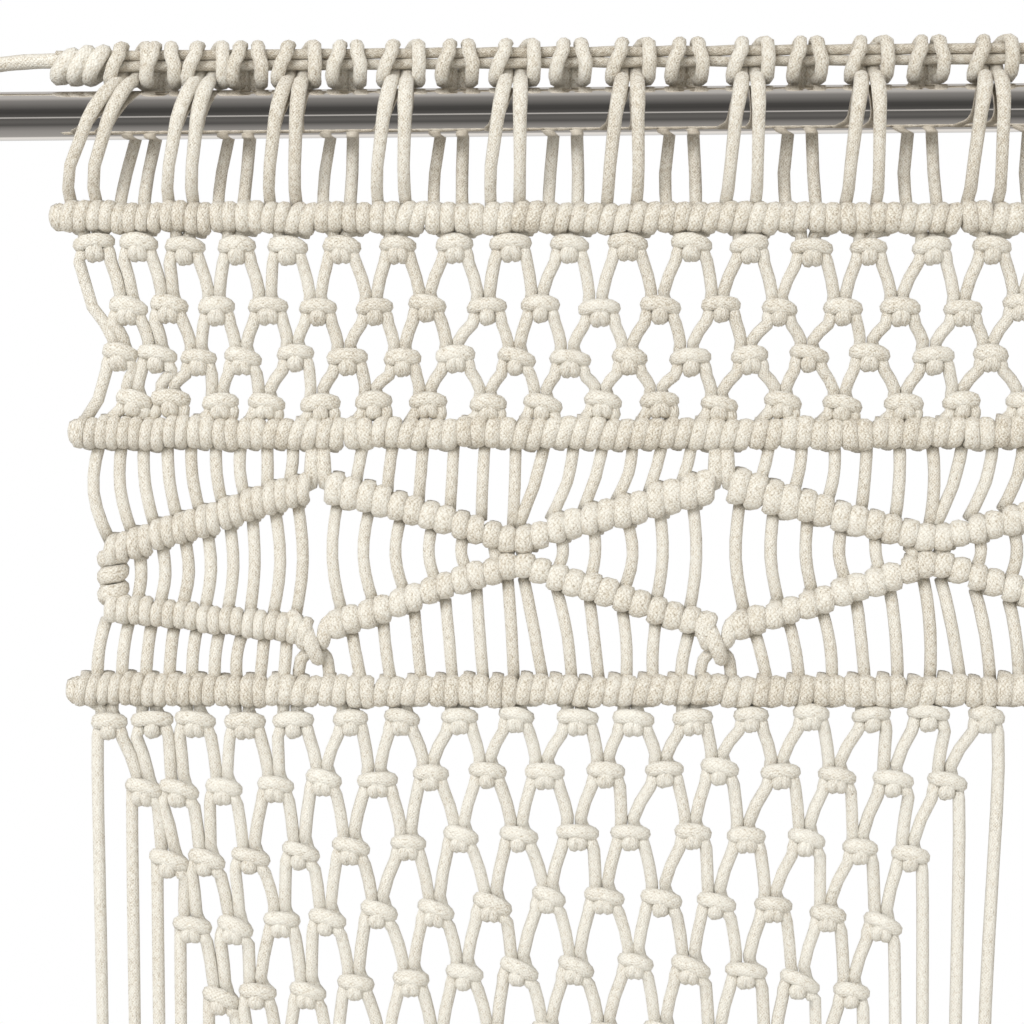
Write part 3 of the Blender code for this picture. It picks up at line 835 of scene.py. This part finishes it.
def hang_on(route, following):
    """Carries a cord on to its next points, down the side of a mesh's arch."""
    x0, y0, z0 = route[-1][:3]
    x1, y1, z1 = following[0][:3]
    x = x0 + LEG_ACROSS * (x1 - x0)
    route.append(at(x, (y0 + y1) / 2, z0 + LEG_DOWN * (z1 - z0)))
    route.extend(following)


def pulled(m, count, pull):
    """How far knot m of a row's count is pulled in from its end of the row."""
    return pull * (math.exp(-m / PULL_FADES) - math.exp(-(count - 1 - m) / PULL_FADES))


HIDDEN_ABOVE, HIDDEN_BELOW = 2.6 * MM, 3.6 * MM  # cords end so far from a bar's centre


def into_bar(x, z):
    """The last two points of a cord that goes in behind a bar."""
    return [at(x, 2.4 * MM, z + 6.2 * MM), at(x, 3.6 * MM, z + HIDDEN_ABOVE)]


def out_of_bar(x, z):
    """The start of a cord's route, where it comes out from behind a bar."""
    return [at(x, 3.4 * MM, z - HIDDEN_BELOW)]


def make_upper_net():
    rows = []
    for number, drop in enumerate(UPPER_ROWS):
        row = []
        count = HEADS - number % 2
        for m in range(count):
            x = column_x(m + 0.5 * (number % 2)) + pulled(m, count, ROW_PULLS[number])
            row.append(Knot(x, BAR_1 + drop + droop(x), UPPER_SLANTS[number]))
        rows.append(row)
    routes = []
    for k in range(CORDS):
        x = bar_1_x(k)
        route = out_of_bar(x, BAR_1 + droop(x))
        for number, row in enumerate(rows):
            place = k - number % 2
            if 0 <= place < 2 * len(row):
                knotted = row[place // 2].route(TYING_CORD if place % 2 else STILL_CORD)
                if number:
                    hang_on(route, knotted)
                else:
                    route.extend(knotted)
            else:
                edge = -1 if k == 0 else 1
                out = row[0 if k == 0 else -1].x + edge * EDGE_OUT
                route.append(at(out, 0.0, row[0].z + EDGE_UP))
        # The last row's knots sit so low that the bar hides where their cords end.
        if 0 < k < CORDS - 1:
            route.pop()
        x = cord_x(k) - ENTRY * turn_width(cord_x, k)
        route.append(into_bar(x, BAR_2 + droop(x))[-1])
        routes.append(route)
    net = cord_mesh("upper_netting", routes)
    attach(net, "root")
    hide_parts("upper_net")


make_upper_net()


# --- Diamonds ---
# Under the second bar the cotton cords hang free, are hitched round the sides of seven
# diamonds, and hang free again down to the third bar. The two cords over a diamond's
# top are the carriers of its four sides, and cross in a loop at its foot.
APEX_COLUMNS = (4.5, 11.5, 18.5, 25.5, 32.5, 39.5, 46.5)
APEX_Z = BAR_2 - 16.5 * MM
CROSSING_Z = BAR_2 - 39.0 * MM
LOW_APEX_Z = BAR_2 - 65.5 * MM
SIDE_TIP_UPPER_Z = BAR_2 - 40.6 * MM
SIDE_TIP_LOWER_Z = BAR_2 - 57.5 * MM
RISE = 3.5 * MM  # from a crossing to the centre line of the bars above and below it
TIP_ROOM = 2.8 * MM  # between a diamond's corner and the first hitch
TOP_BULK = dict(zip(APEX_COLUMNS, (1.06, 1.3, 1.12, 1.24, 1.05, 1.2, 1.1)))  # of the turns
SIDE_BULK, LOW_BULK, CROSSING_BULK = 0.95, 0.88, 0.78


class Slope:
    """The stretch between two neighbouring diamond tops, with its cords counted
    from first to last. At the sides of the curtain one of the two tops is missing."""

    def __init__(self, left, right):
        self.left, self.right = left, right
        # The two cords over a top are its carriers, and aren't hitched.
        self.first = 0 if left is None else int(2 * left) + 2
        self.last = CORDS - 1 if right is None else int(2 * right) - 1
        self.hitched = range(self.first, self.last + 1)
        start = LEFT if left is None else column_x(left)
        end = RIGHT if right is None else column_x(right)
        self.cords, self.xs = [self.first - 0.5], [start + TIP_ROOM]
        self.corners = [start]
        if left is not None and right is not None:
            middle = (left + right) / 2
            self.cords.append(2 * middle + 0.5)
            self.xs.append(column_x(middle))
            self.corners.append(column_x(middle))
        self.cords.append(self.last + 0.5)
        self.xs.append(end - TIP_ROOM)
        self.corners.append(end)

    def place_x(self, k):
        """Where cord k crosses the sloping bars."""
        return float(np.interp(k, self.cords, self.xs))

    def line(self, apex_z, crossing_z, tip_z):
        """The height of a bar's centre line at an x."""
        heights = [tip_z if self.left is None else apex_z]
        if len(self.corners) == 3:
            heights.append(crossing_z)
        heights.append(tip_z if self.right is None else apex_z)
        return lambda x: float(np.interp(x, self.corners, heights)) + droop(x)

    def size(self, k, upper):
        """The turns grow smaller towards a crossing, and are bulky near some tops."""
        bulks = []
        for end in (self.left, self.right):
            bulks.append(TOP_BULK.get(end, SIDE_BULK) if upper else LOW_BULK)
        if len(self.corners) == 3:
            bulks.insert(1, CROSSING_BULK)
        return float(np.interp(k, self.cords, bulks))


UPRIGHT_POINTS = 7


def upright(top, low, share, bow):
    """A cord that hangs from behind one bar to behind another. share is how much of
    its way across it has gone at half its height, and bow is added to that."""
    (x0, z0), (x1, z1) = top, low
    first, last = z0 - HIDDEN_BELOW, z1 + HIDDEN_ABOVE
    route = []
    for t in np.linspace(0, 1, UPRIGHT_POINTS):
        across = 2 * share * t if t < 0.5 else share + (1 - share) * (2 * t - 1)
        across = 0.7 * across + 0.3 * t ** math.log(share, 0.5)
        x = x0 + across * (x1 - x0) + bow * math.sin(math.pi * t)
        y = 0.4 + 3.1 * abs(2 * t - 1) ** 3
        route.append(at(x, y * MM, first + t * (last - first)))
    return route


# How many turns to the right of their middle, or left of it, the cords come out of a
# bar or go into it. Which it is depends on the way that the carrier runs.
OUT_OF_BAR_2, OUT_NEAR_TOP = 1.1, 0.3
INTO_UPPER = {-1: -0.85, 1: 0.85}
OUT_OF_UPPER = {-1: -0.2, 1: -0.35}
INTO_LOWER = {-1: -0.5, 1: -0.1}
OUT_OF_LOWER = {-1: -0.5, 1: 0.5}
OUT_AT_SIDE = -1.2
DIAMOND_CORDS = 14
BAR_3_SHIFT = 2.1 * MM  # to the right, of where the cords go into the third bar
MOST_SHIFTED = 17  # this cord, and every one a whole diamond from it
NEAR_TOP = 5  # cords over which OUT_NEAR_TOP gives way to OUT_OF_BAR_2
ACROSS_ABOVE, ACROSS_BETWEEN, ACROSS_BELOW = 0.34, 0.45, 0.62  # of the way, half way down
EDGE_BOW = 2.6 * MM  # of the outermost cord above the diamonds
EDGE_BOW_FADES = 1.5  # cords over which that fades
BOW = 2.0 * MM  # of the cords inside a diamond
BOW_LENGTH, NO_BOW = 22 * MM, 0.4  # cords shorter than this share of the length don't bow
EDGE_IN = 4.9 * MM  # from the curtain's edge to the middle of the turns on it
EDGE_TURNS = 3.5
EDGE_TURN_RADIUS, EDGE_TURN_TALL = 3.4 * MM, 1.38
EDGE_STEPS = 36


def edge_wraps(x, top_z, low_z, turn):
    """The outermost cord between the two bars, wound round their carrier."""
    route = []
    for share in np.linspace(0, 1, EDGE_STEPS):
        angle = math.pi * (0.5 + 2 * EDGE_TURNS * share)
        # The cord goes down mostly behind the carrier, so its turns look level.
        whole = 2 * math.pi * EDGE_TURNS
        step = share + 0.5 * math.sin(whole * share) / whole
        z = top_z + step * (low_z - top_z)
        out = turn * EDGE_TURN_RADIUS * math.cos(angle)
        route.append(at(x - out, EDGE_TURN_RADIUS * math.sin(angle), z, 1.0, EDGE_TURN_TALL))
    return route


def make_hitches(number, slope, half, line):
    """The row of hitches of an upper or a lower half."""
    turns = []
    for k in slope.hitched:
        x, width = slope.place_x(k), turn_width(slope.place_x, k)
        turns.append(hitch_route(x, width, line, slope.size(k, half == "upper")))
    # The hitches are painted slightly darker: painted shade.
    hitches = cord_mesh(f"{half}_slope_{number}", turns, painted_light=-0.15)
    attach(hitches, "root")
    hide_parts(f"diamond_{half}_{number}")


def make_slope(number, slope):
    """The hitches and the cords of one stretch. It returns the lines of the two bars."""
    upper = slope.line(APEX_Z, CROSSING_Z + RISE, SIDE_TIP_UPPER_Z)
    lower = slope.line(LOW_APEX_Z, CROSSING_Z - RISE, SIDE_TIP_LOWER_Z)
    make_hitches(number, slope, "upper", upper)
    make_hitches(number, slope, "lower", lower)
    above, between, below = [], [], []
    for k in slope.hitched:
        x = slope.place_x(k)
        # Left of a diamond's middle its carrier runs the other way, and so do the turns.
        way = -1 if slope.left is None or (slope.right and k > slope.cords[1]) else 1
        turn = turn_width(slope.place_x, k)
        wobble = random.uniform(-0.6, 0.6) * MM

        from_top = 1.0 if slope.left is None else min(1.0, (k - slope.first) / NEAR_TOP)
        out = OUT_NEAR_TOP + from_top * (OUT_OF_BAR_2 - OUT_NEAR_TOP)
        out_x = cord_x(k) + out * turn_width(cord_x, k)
        from_left = math.exp(-k / EDGE_BOW_FADES)
        from_right = math.exp((k - CORDS + 1) / EDGE_BOW_FADES)
        edge_bow = -EDGE_BOW * (from_left - from_right)
        top, low = (out_x, BAR_2 + droop(out_x)), (x + INTO_UPPER[way] * turn, upper(x))
        above.append(upright(top, low, ACROSS_ABOVE, edge_bow + wobble))

        phase = 2 * math.pi * (k - MOST_SHIFTED) / DIAMOND_CORDS
        in_x = cord_x(k) + BAR_3_SHIFT * (1 + math.cos(phase))
        leaves = OUT_AT_SIDE if slope.left is None else OUT_OF_LOWER[way]
        top, low = (x + leaves * turn, lower(x)), (in_x, BAR_3 + droop(in_x))
        below.append(upright(top, low, ACROSS_BELOW, wobble))

        if k == 0 or k == CORDS - 1:
            hand = 1 if k == 0 else -1
            corner = slope.corners[0 if k == 0 else -1] + hand * EDGE_IN
            wound = edge_wraps(corner, upper(x) + 0.5 * MM, lower(x) - 0.5 * MM, hand)
            between.append([*out_of_bar(x, upper(x)), *wound, into_bar(x, lower(x))[-1]])
        else:
            room = min(1.0, max(0.0, (upper(x) - lower(x)) / BOW_LENGTH - NO_BOW))
            top, low = (x + OUT_OF_UPPER[way] * turn, upper(x)), (x + INTO_LOWER[way] * turn, lower(x))
            between.append(upright(top, low, ACROSS_BETWEEN, -way * BOW * room + wobble))
    # The hanging cords are painted slightly darker: painted shade.
    strands = cord_mesh(f"upright_cords_{number}", above + between + below, painted_light=-0.1)
    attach(strands, "root")
    return upper, lower


# A carrier from the second bar down to a diamond's top: x out from its middle, y and
# height above the top, and how far it is pressed wide.
TOP_DOWN = (
    (1.90, -0.8, 11.5, 1.15),
    (1.80, -2.0, 7.0, 1.25),
    (1.90, -2.2, 3.2, 1.3),
    (2.40, -0.6, -0.4, 1.2),
    (5.20, 0.6, -1.6, 1.0),
)
CARRIER_Y = 0.4 * MM
CARRIED_FROM, CARRIED_TO = 14 * MM, 3 * MM  # where its points in a bar start and end
SIDE_ROOM = 2.2 * MM  # between the curtain's edge and a carrier that turns back there
# Where a diamond's carriers cross at its foot: x from its middle, y, height and how
# far it is pressed wide. The left one passes over the right one in a slanted loop.
FOOT_LOOP = (
    (-9.6, 0.6, 2.6, 1.0),
    (-8.6, -1.6, 5.4, 1.1),
    (-7.4, -3.9, 3.2, 1.3),
    (-6.2, -4.0, -0.8, 1.35),
    (-5.0, -1.8, -4.4, 1.15),
    (-4.6, 1.8, -2.8, 1.0),
    (-5.2, 1.8, 1.0, 1.0),
    (-4.8, -1.6, 2.4, 1.1),
    (-3.8, -4.2, -0.8, 1.3),
    (-2.4, -4.4, -4.6, 1.35),
    (-0.9, -2.4, -8.4, 1.2),
    (-0.5, 0.6, -9.4, 1.0),
    (1.2, 2.6, -7.6, 1.0),
    (2.4, 2.6, -10.0, 1.0),
)
FOOT_BEHIND = (
    (7.4, 0.6, 2.2, 1.0),
    (4.2, -2.0, 4.4, 1.2),
    (2.2, -3.8, 1.2, 1.3),
    (1.4, -3.2, -2.8, 1.2),
    (0.2, 0.6, -4.6, 1.0),
    (-3.6, 1.8, -6.2, 1.0),
    (-6.4, 1.4, -9.4, 1.0),
)
FOOT_END = {-1: 2.8 * MM, 1: -7.2 * MM}  # where they go into the third bar


def make_diamonds():
    """The stretches between the tops, and then the carriers that run through them."""
    ends = (None, *APEX_COLUMNS, None)
    slopes = [Slope(left, right) for left, right in zip(ends, ends[1:])]
    lines = [make_slope(number, slope) for number, slope in enumerate(slopes, 1)]
    carriers = []
    for n, apex in enumerate(APEX_COLUMNS):
        middle = column_x(apex)
        for hand, m in ((-1, n), (1, n + 1)):
            slope = slopes[m]
            upper, lower = lines[m]
            k = 2 * apex if hand < 0 else 2 * apex + 1
            far = slope.corners[-2 if hand < 0 else 1]
            at_side = len(slope.corners) == 2
            turned = far - hand * (SIDE_ROOM if at_side else CORD / 2)
            route = out_of_bar(cord_x(k), BAR_2 + droop(middle))
            for x, y, z, wide in TOP_DOWN:
                route.append(at(middle + hand * x * MM, y * MM, APEX_Z + droop(middle) + z * MM, wide))
            start, end = middle + hand * CARRIED_FROM, turned - hand * CARRIED_TO
            stops = np.linspace(start, end, 4)
            route += [at(x, CARRIER_Y, upper(x)) for x in stops]
            route.append(at(turned, CARRIER_Y, (upper(turned) + lower(turned)) / 2))
            route += [at(x, CARRIER_Y, lower(x)) for x in stops[::-1]]
            for x, y, z, wide in FOOT_LOOP if hand < 0 else FOOT_BEHIND:
                route.append(at(middle + x * MM, y * MM, LOW_APEX_Z + droop(middle) + z * MM, wide))
            low_x = middle + FOOT_END[hand]
            route += into_bar(low_x, BAR_3 + droop(low_x))
            carriers.append(route)
    # The carriers are painted slightly darker: painted shade.
    cords = cord_mesh("diamond_carriers", carriers, painted_light=-0.15)
    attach(cords, "root")


make_diamonds()


# --- Pointed nets and fringe ---
# Below the third bar the cotton cords part into three nets. Every row of knots leaves
# out one cord at each side, which hangs on down to the hem, where all are cut off.
POINTED_NETS = ((0, 16), (17, 34), (35, 51))
FIRST_ROW_DROP = 9.1 * MM
ROW_PITCH = 22.8 * MM
ROW_LIFT = 10 * MM  # the middle of a row hangs higher than its ends
LIFT_EASE = 1.2  # rows over which that grows
LIFT_KNOTS = 8  # and it is less in a row with fewer spaces than this
LIFT_SKEW = 1.5  # the highest knot is right of the middle
NET_PULL = 8.5 * MM  # of the rows' end knots, inwards, and less in the first rows
PULL_KNOTS = 8  # and less in a row of fewer knots than this
POINTED_SLANT = 4  # degrees that the knots lean more in each of the first four rows
FRINGE_Z = -1300 * MM
FRINGE_UNEVEN = 3.0 * MM
HEM_A_ROW, HEM_A_METRE = 2.4, 90  # how fast the hem's unevenness comes and goes, in radians
FRINGE_OUT = 3.9 * MM  # from the outermost knot's middle to its hanging cord
FRINGE_STEP = 80 * MM
TURNED_OUT, TURNED_DOWN = 0.85, 3 * MM  # first a cord turns most of its way outwards
SETTLED_DOWN = 14 * MM  # and from here on it hangs clear of its last knot
SWAY, SWAY_A_METRE = 1.0 * MM, 11
DRIFTS = {"left": 1.5 * MM, "right": -10 * MM}  # of each net's outermost hanging cords
DRIFT_FADES = 1.2  # rows over which the drift fades
DRIFT_LENGTH = 120 * MM


def row_lift(row, place, knots):
    """How far a knot sits above the ends of its row. place counts the knots from 0."""
    spaces = max(1, knots - 1)
    most = ROW_LIFT * (1 - math.exp(-row / LIFT_EASE)) * min(1.0, spaces / LIFT_KNOTS)
    return most * math.sin(math.pi * (place / spaces) ** LIFT_SKEW)


def hanging_cord(start, x, row, drift):
    """A fringe cord, from inside its last knot down to the hem. It sways a little,
    and drifts to one side as it comes to rest under the others."""
    end = FRINGE_Z + FRINGE_UNEVEN * math.sin(HEM_A_ROW * row + HEM_A_METRE * x)
    x0, y0, z0 = start[:3]
    turned = at(x0 + TURNED_OUT * (x - x0), 0.5 * y0, z0 - TURNED_DOWN)
    from_z = z0 - SETTLED_DOWN
    strand = [start, turned, at(x, 0.0, from_z)]
    count = max(2, round((from_z - end) / FRINGE_STEP))
    phase = random.uniform(0, 2 * math.pi)
    for i in range(1, count + 1):
        z = from_z + (end - from_z) * i / count
        sway = SWAY * (math.sin(phase + SWAY_A_METRE * (from_z - z)) - math.sin(phase))
        sway *= min(1.0, 3 * i / count)
        drifted = drift * (1 - math.exp((z - from_z) / DRIFT_LENGTH))
        strand.append(at(x + sway + drifted, 0.6 * sway, z))
    return strand


def make_pointed_net(number, first, last):
    rows = last - first + 1
    middle = column_x((first + last) / 2)
    knots = []
    for row in range(rows):
        made = []
        count = rows - row
        slant = POINTED_SLANT * (1 + min(row, 3))
        pull = NET_PULL * (1 - 0.6 * math.exp(-row)) * min(1.0, count / PULL_KNOTS)
        for m in range(count):
            x = column_x(first + row / 2 + m) + pulled(m, count, pull)
            z = BAR_3 - FIRST_ROW_DROP - row * ROW_PITCH + droop(middle) + row_lift(row, m, count)
            made.append(Knot(x, z, slant))
        knots.append(made)
    routes = []
    fringes = {"left": [], "right": []}
    for j in range(2 * rows):
        x = cord_x(2 * first + j)
        route = out_of_bar(x, BAR_3 + droop(x))
        last_row = min(j, 2 * rows - 1 - j)
        for row in range(last_row + 1):
            place = j - row
            knotted = knots[row][place // 2].route(TYING_CORD if place % 2 else STILL_CORD)
            if row:
                hang_on(route, knotted)
            else:
                route.extend(knotted)
        side = "left" if j < rows else "right"
        away = -1 if side == "left" else 1
        hang_x = knots[last_row][0 if side == "left" else -1].x + away * FRINGE_OUT
        drift = DRIFTS[side] * math.exp(-last_row / DRIFT_FADES)
        # The last two points would lead on to a next knot, and the fringe hangs instead.
        fringes[side].append(hanging_cord(route[-3], hang_x, last_row, drift))
        routes.append(route[:-2])
    # The pointed nets and their fringe are painted lighter: painted light.
    net = cord_mesh(f"pointed_netting_{number}", routes, painted_light=0.8)
    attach(net, "root")
    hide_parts(f"pointed_net_{number}")
    for side, strands in fringes.items():
        fringe = cord_mesh(f"fringe_cords_{number}_{side}", strands, round_end=True, painted_light=0.8)
        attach(fringe, "root")
        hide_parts(f"fringe_{number}_{side}")


for number, (first, last) in enumerate(POINTED_NETS, 1):
    make_pointed_net(number, first, last)


# --- Studio ---
# A pale floor under the curtain, a white surround, a soft light, and a camera before
# the top left corner, square to the curtain.
FLOOR_Z = cad_low.z - 60 * MM
FLOOR_REACH = 4.8
floor_mesh = bpy.data.meshes.new("floor")
bm = bmesh.new()
bmesh.ops.create_grid(bm, x_segments=1, y_segments=1, size=FLOOR_REACH)
bmesh.ops.translate(bm, verts=bm.verts, vec=(ROD_LENGTH / 2, 0, FLOOR_Z))
bm.to_mesh(floor_mesh)
bm.free()
pale = bpy.data.materials.new("pale_floor")
pale.use_nodes = True
pale_shader = pale.node_tree.nodes["Principled BSDF"]
pale_shader.inputs["Base Color"].default_value = (0.9, 0.895, 0.88, 1)
pale_shader.inputs["Roughness"].default_value = 0.9
floor_mesh.materials.append(pale)
floor = bpy.data.objects.new("floor", floor_mesh)
floor.visible_glossy = False
bpy.context.scene.collection.objects.link(floor)

# What the polished rod mirrors: the angle up from straight ahead, seen from the
# front, in degrees, and how bright the room is there.
ROOM = (
    (-180, 0.60),
    (-130, 0.85),
    (-122, 0.36),
    (-84, 0.30),
    (-67, 0.22),
    (-51, 0.09),
    (-36, 0.13),
    (-20, 0.10),
    (-17.5, 0.52),
    (-14.5, 0.52),
    (-12, 0.09),
    (7, 0.055),
    (21, 0.065),
    (36, 0.13),
    (51, 0.19),
    (67, 0.24),
    (84, 0.49),
    (134, 0.52),
    (180, 0.60),
)
ROOM_GREEN, ROOM_BLUE = 0.975, 0.94  # of the red in it, which makes the room warm
FRONT_LIGHT, BACK_LIGHT = (0.86, 0.845, 0.81), (0.32, 0.305, 0.28)


def make_surround():
    """A surround that is plain white to look at, lights the front more than the back,
    and holds the dark and bright bands that a room has for the rod to mirror."""
    world = bpy.data.worlds.new("white_surround")
    bpy.context.scene.world = world
    world.use_nodes = True
    nodes, links = world.node_tree.nodes, world.node_tree.links
    background = nodes["Background"]
    maths = maths_for(world.node_tree)

    def choose(factor, a, b):
        """A mix of two colours. Sockets 6 and 7 and output 2 are a mix node's colours."""
        node = nodes.new("ShaderNodeMix")
        node.data_type = "RGBA"
        links.new(factor, node.inputs["Factor"])
        for socket, value in ((node.inputs[6], a), (node.inputs[7], b)):
            if isinstance(value, tuple):
                socket.default_value = (*value, 1)
            else:
                links.new(value, socket)
        return node.outputs[2]

    direction = nodes.new("ShaderNodeTexCoord")
    split = nodes.new("ShaderNodeSeparateXYZ")
    links.new(direction.outputs["Generated"], split.inputs["Vector"])
    forward = maths("MULTIPLY", split.outputs["Y"], -1.0)
    angle = maths("ARCTAN2", split.outputs["Z"], forward)
    bands = nodes.new("ShaderNodeValToRGB")
    ramp = bands.color_ramp
    behind = ROOM[0][1]
    for end in ramp.elements:
        end.color = (behind, behind, behind, 1)
    for degrees, bright in ROOM[1:-1]:
        stop = ramp.elements.new(degrees / 360 + 0.5)
        stop.color = (bright, ROOM_GREEN * bright, ROOM_BLUE * bright, 1)
    links.new(maths("ADD", maths("DIVIDE", angle, 2 * math.pi), 0.5), bands.inputs["Fac"])
    ahead = nodes.new("ShaderNodeMapRange")
    ahead.inputs["From Min"].default_value = -0.6
    ahead.inputs["From Max"].default_value = 0.6
    links.new(forward, ahead.inputs["Value"])
    around = choose(ahead.outputs["Result"], BACK_LIGHT, FRONT_LIGHT)
    ray = nodes.new("ShaderNodeLightPath")
    light = choose(ray.outputs["Is Glossy Ray"], around, bands.outputs["Color"])
    seen = choose(ray.outputs["Is Camera Ray"], light, (1.0, 1.0, 1.0))
    links.new(seen, background.inputs["Color"])


make_surround()


def soft_light(name, place, target, size, power):
    """A square lamp that the rod doesn't mirror."""
    data = bpy.data.lights.new(name, "AREA")
    data.shape = "SQUARE"
    data.size = size
    data.energy = power
    made = bpy.data.objects.new(name, data)
    made.location = place
    bpy.context.scene.collection.objects.link(made)
    made.rotation_mode = "QUATERNION"
    made.rotation_quaternion = (Vector(target) - Vector(place)).to_track_quat("-Z", "Y")
    made.visible_glossy = False


KEY_PLACE, KEY_TARGET = (-0.8, -2.1, 1.0), (0.4, 0, -0.3)
soft_light("key_light", KEY_PLACE, KEY_TARGET, size=1.1, power=40)

VIEW_MIDDLE = (LEFT + 136.7 * MM, 0.0, -132 * MM)
VIEW_WIDTH = 338 * MM
VIEW_ROLL = 0.5  # degrees
camera_data = bpy.data.cameras.new("camera")
camera_data.lens = 90
camera_data.sensor_width = 36
camera = bpy.data.objects.new("camera", camera_data)
bpy.context.scene.collection.objects.link(camera)
distance = VIEW_WIDTH * camera_data.lens / camera_data.sensor_width
camera.location = (VIEW_MIDDLE[0], -distance, VIEW_MIDDLE[2])
camera.rotation_euler = (math.radians(90), math.radians(VIEW_ROLL), 0)
bpy.context.scene.camera = camera
bpy.context.scene.view_settings.view_transform = "Standard"
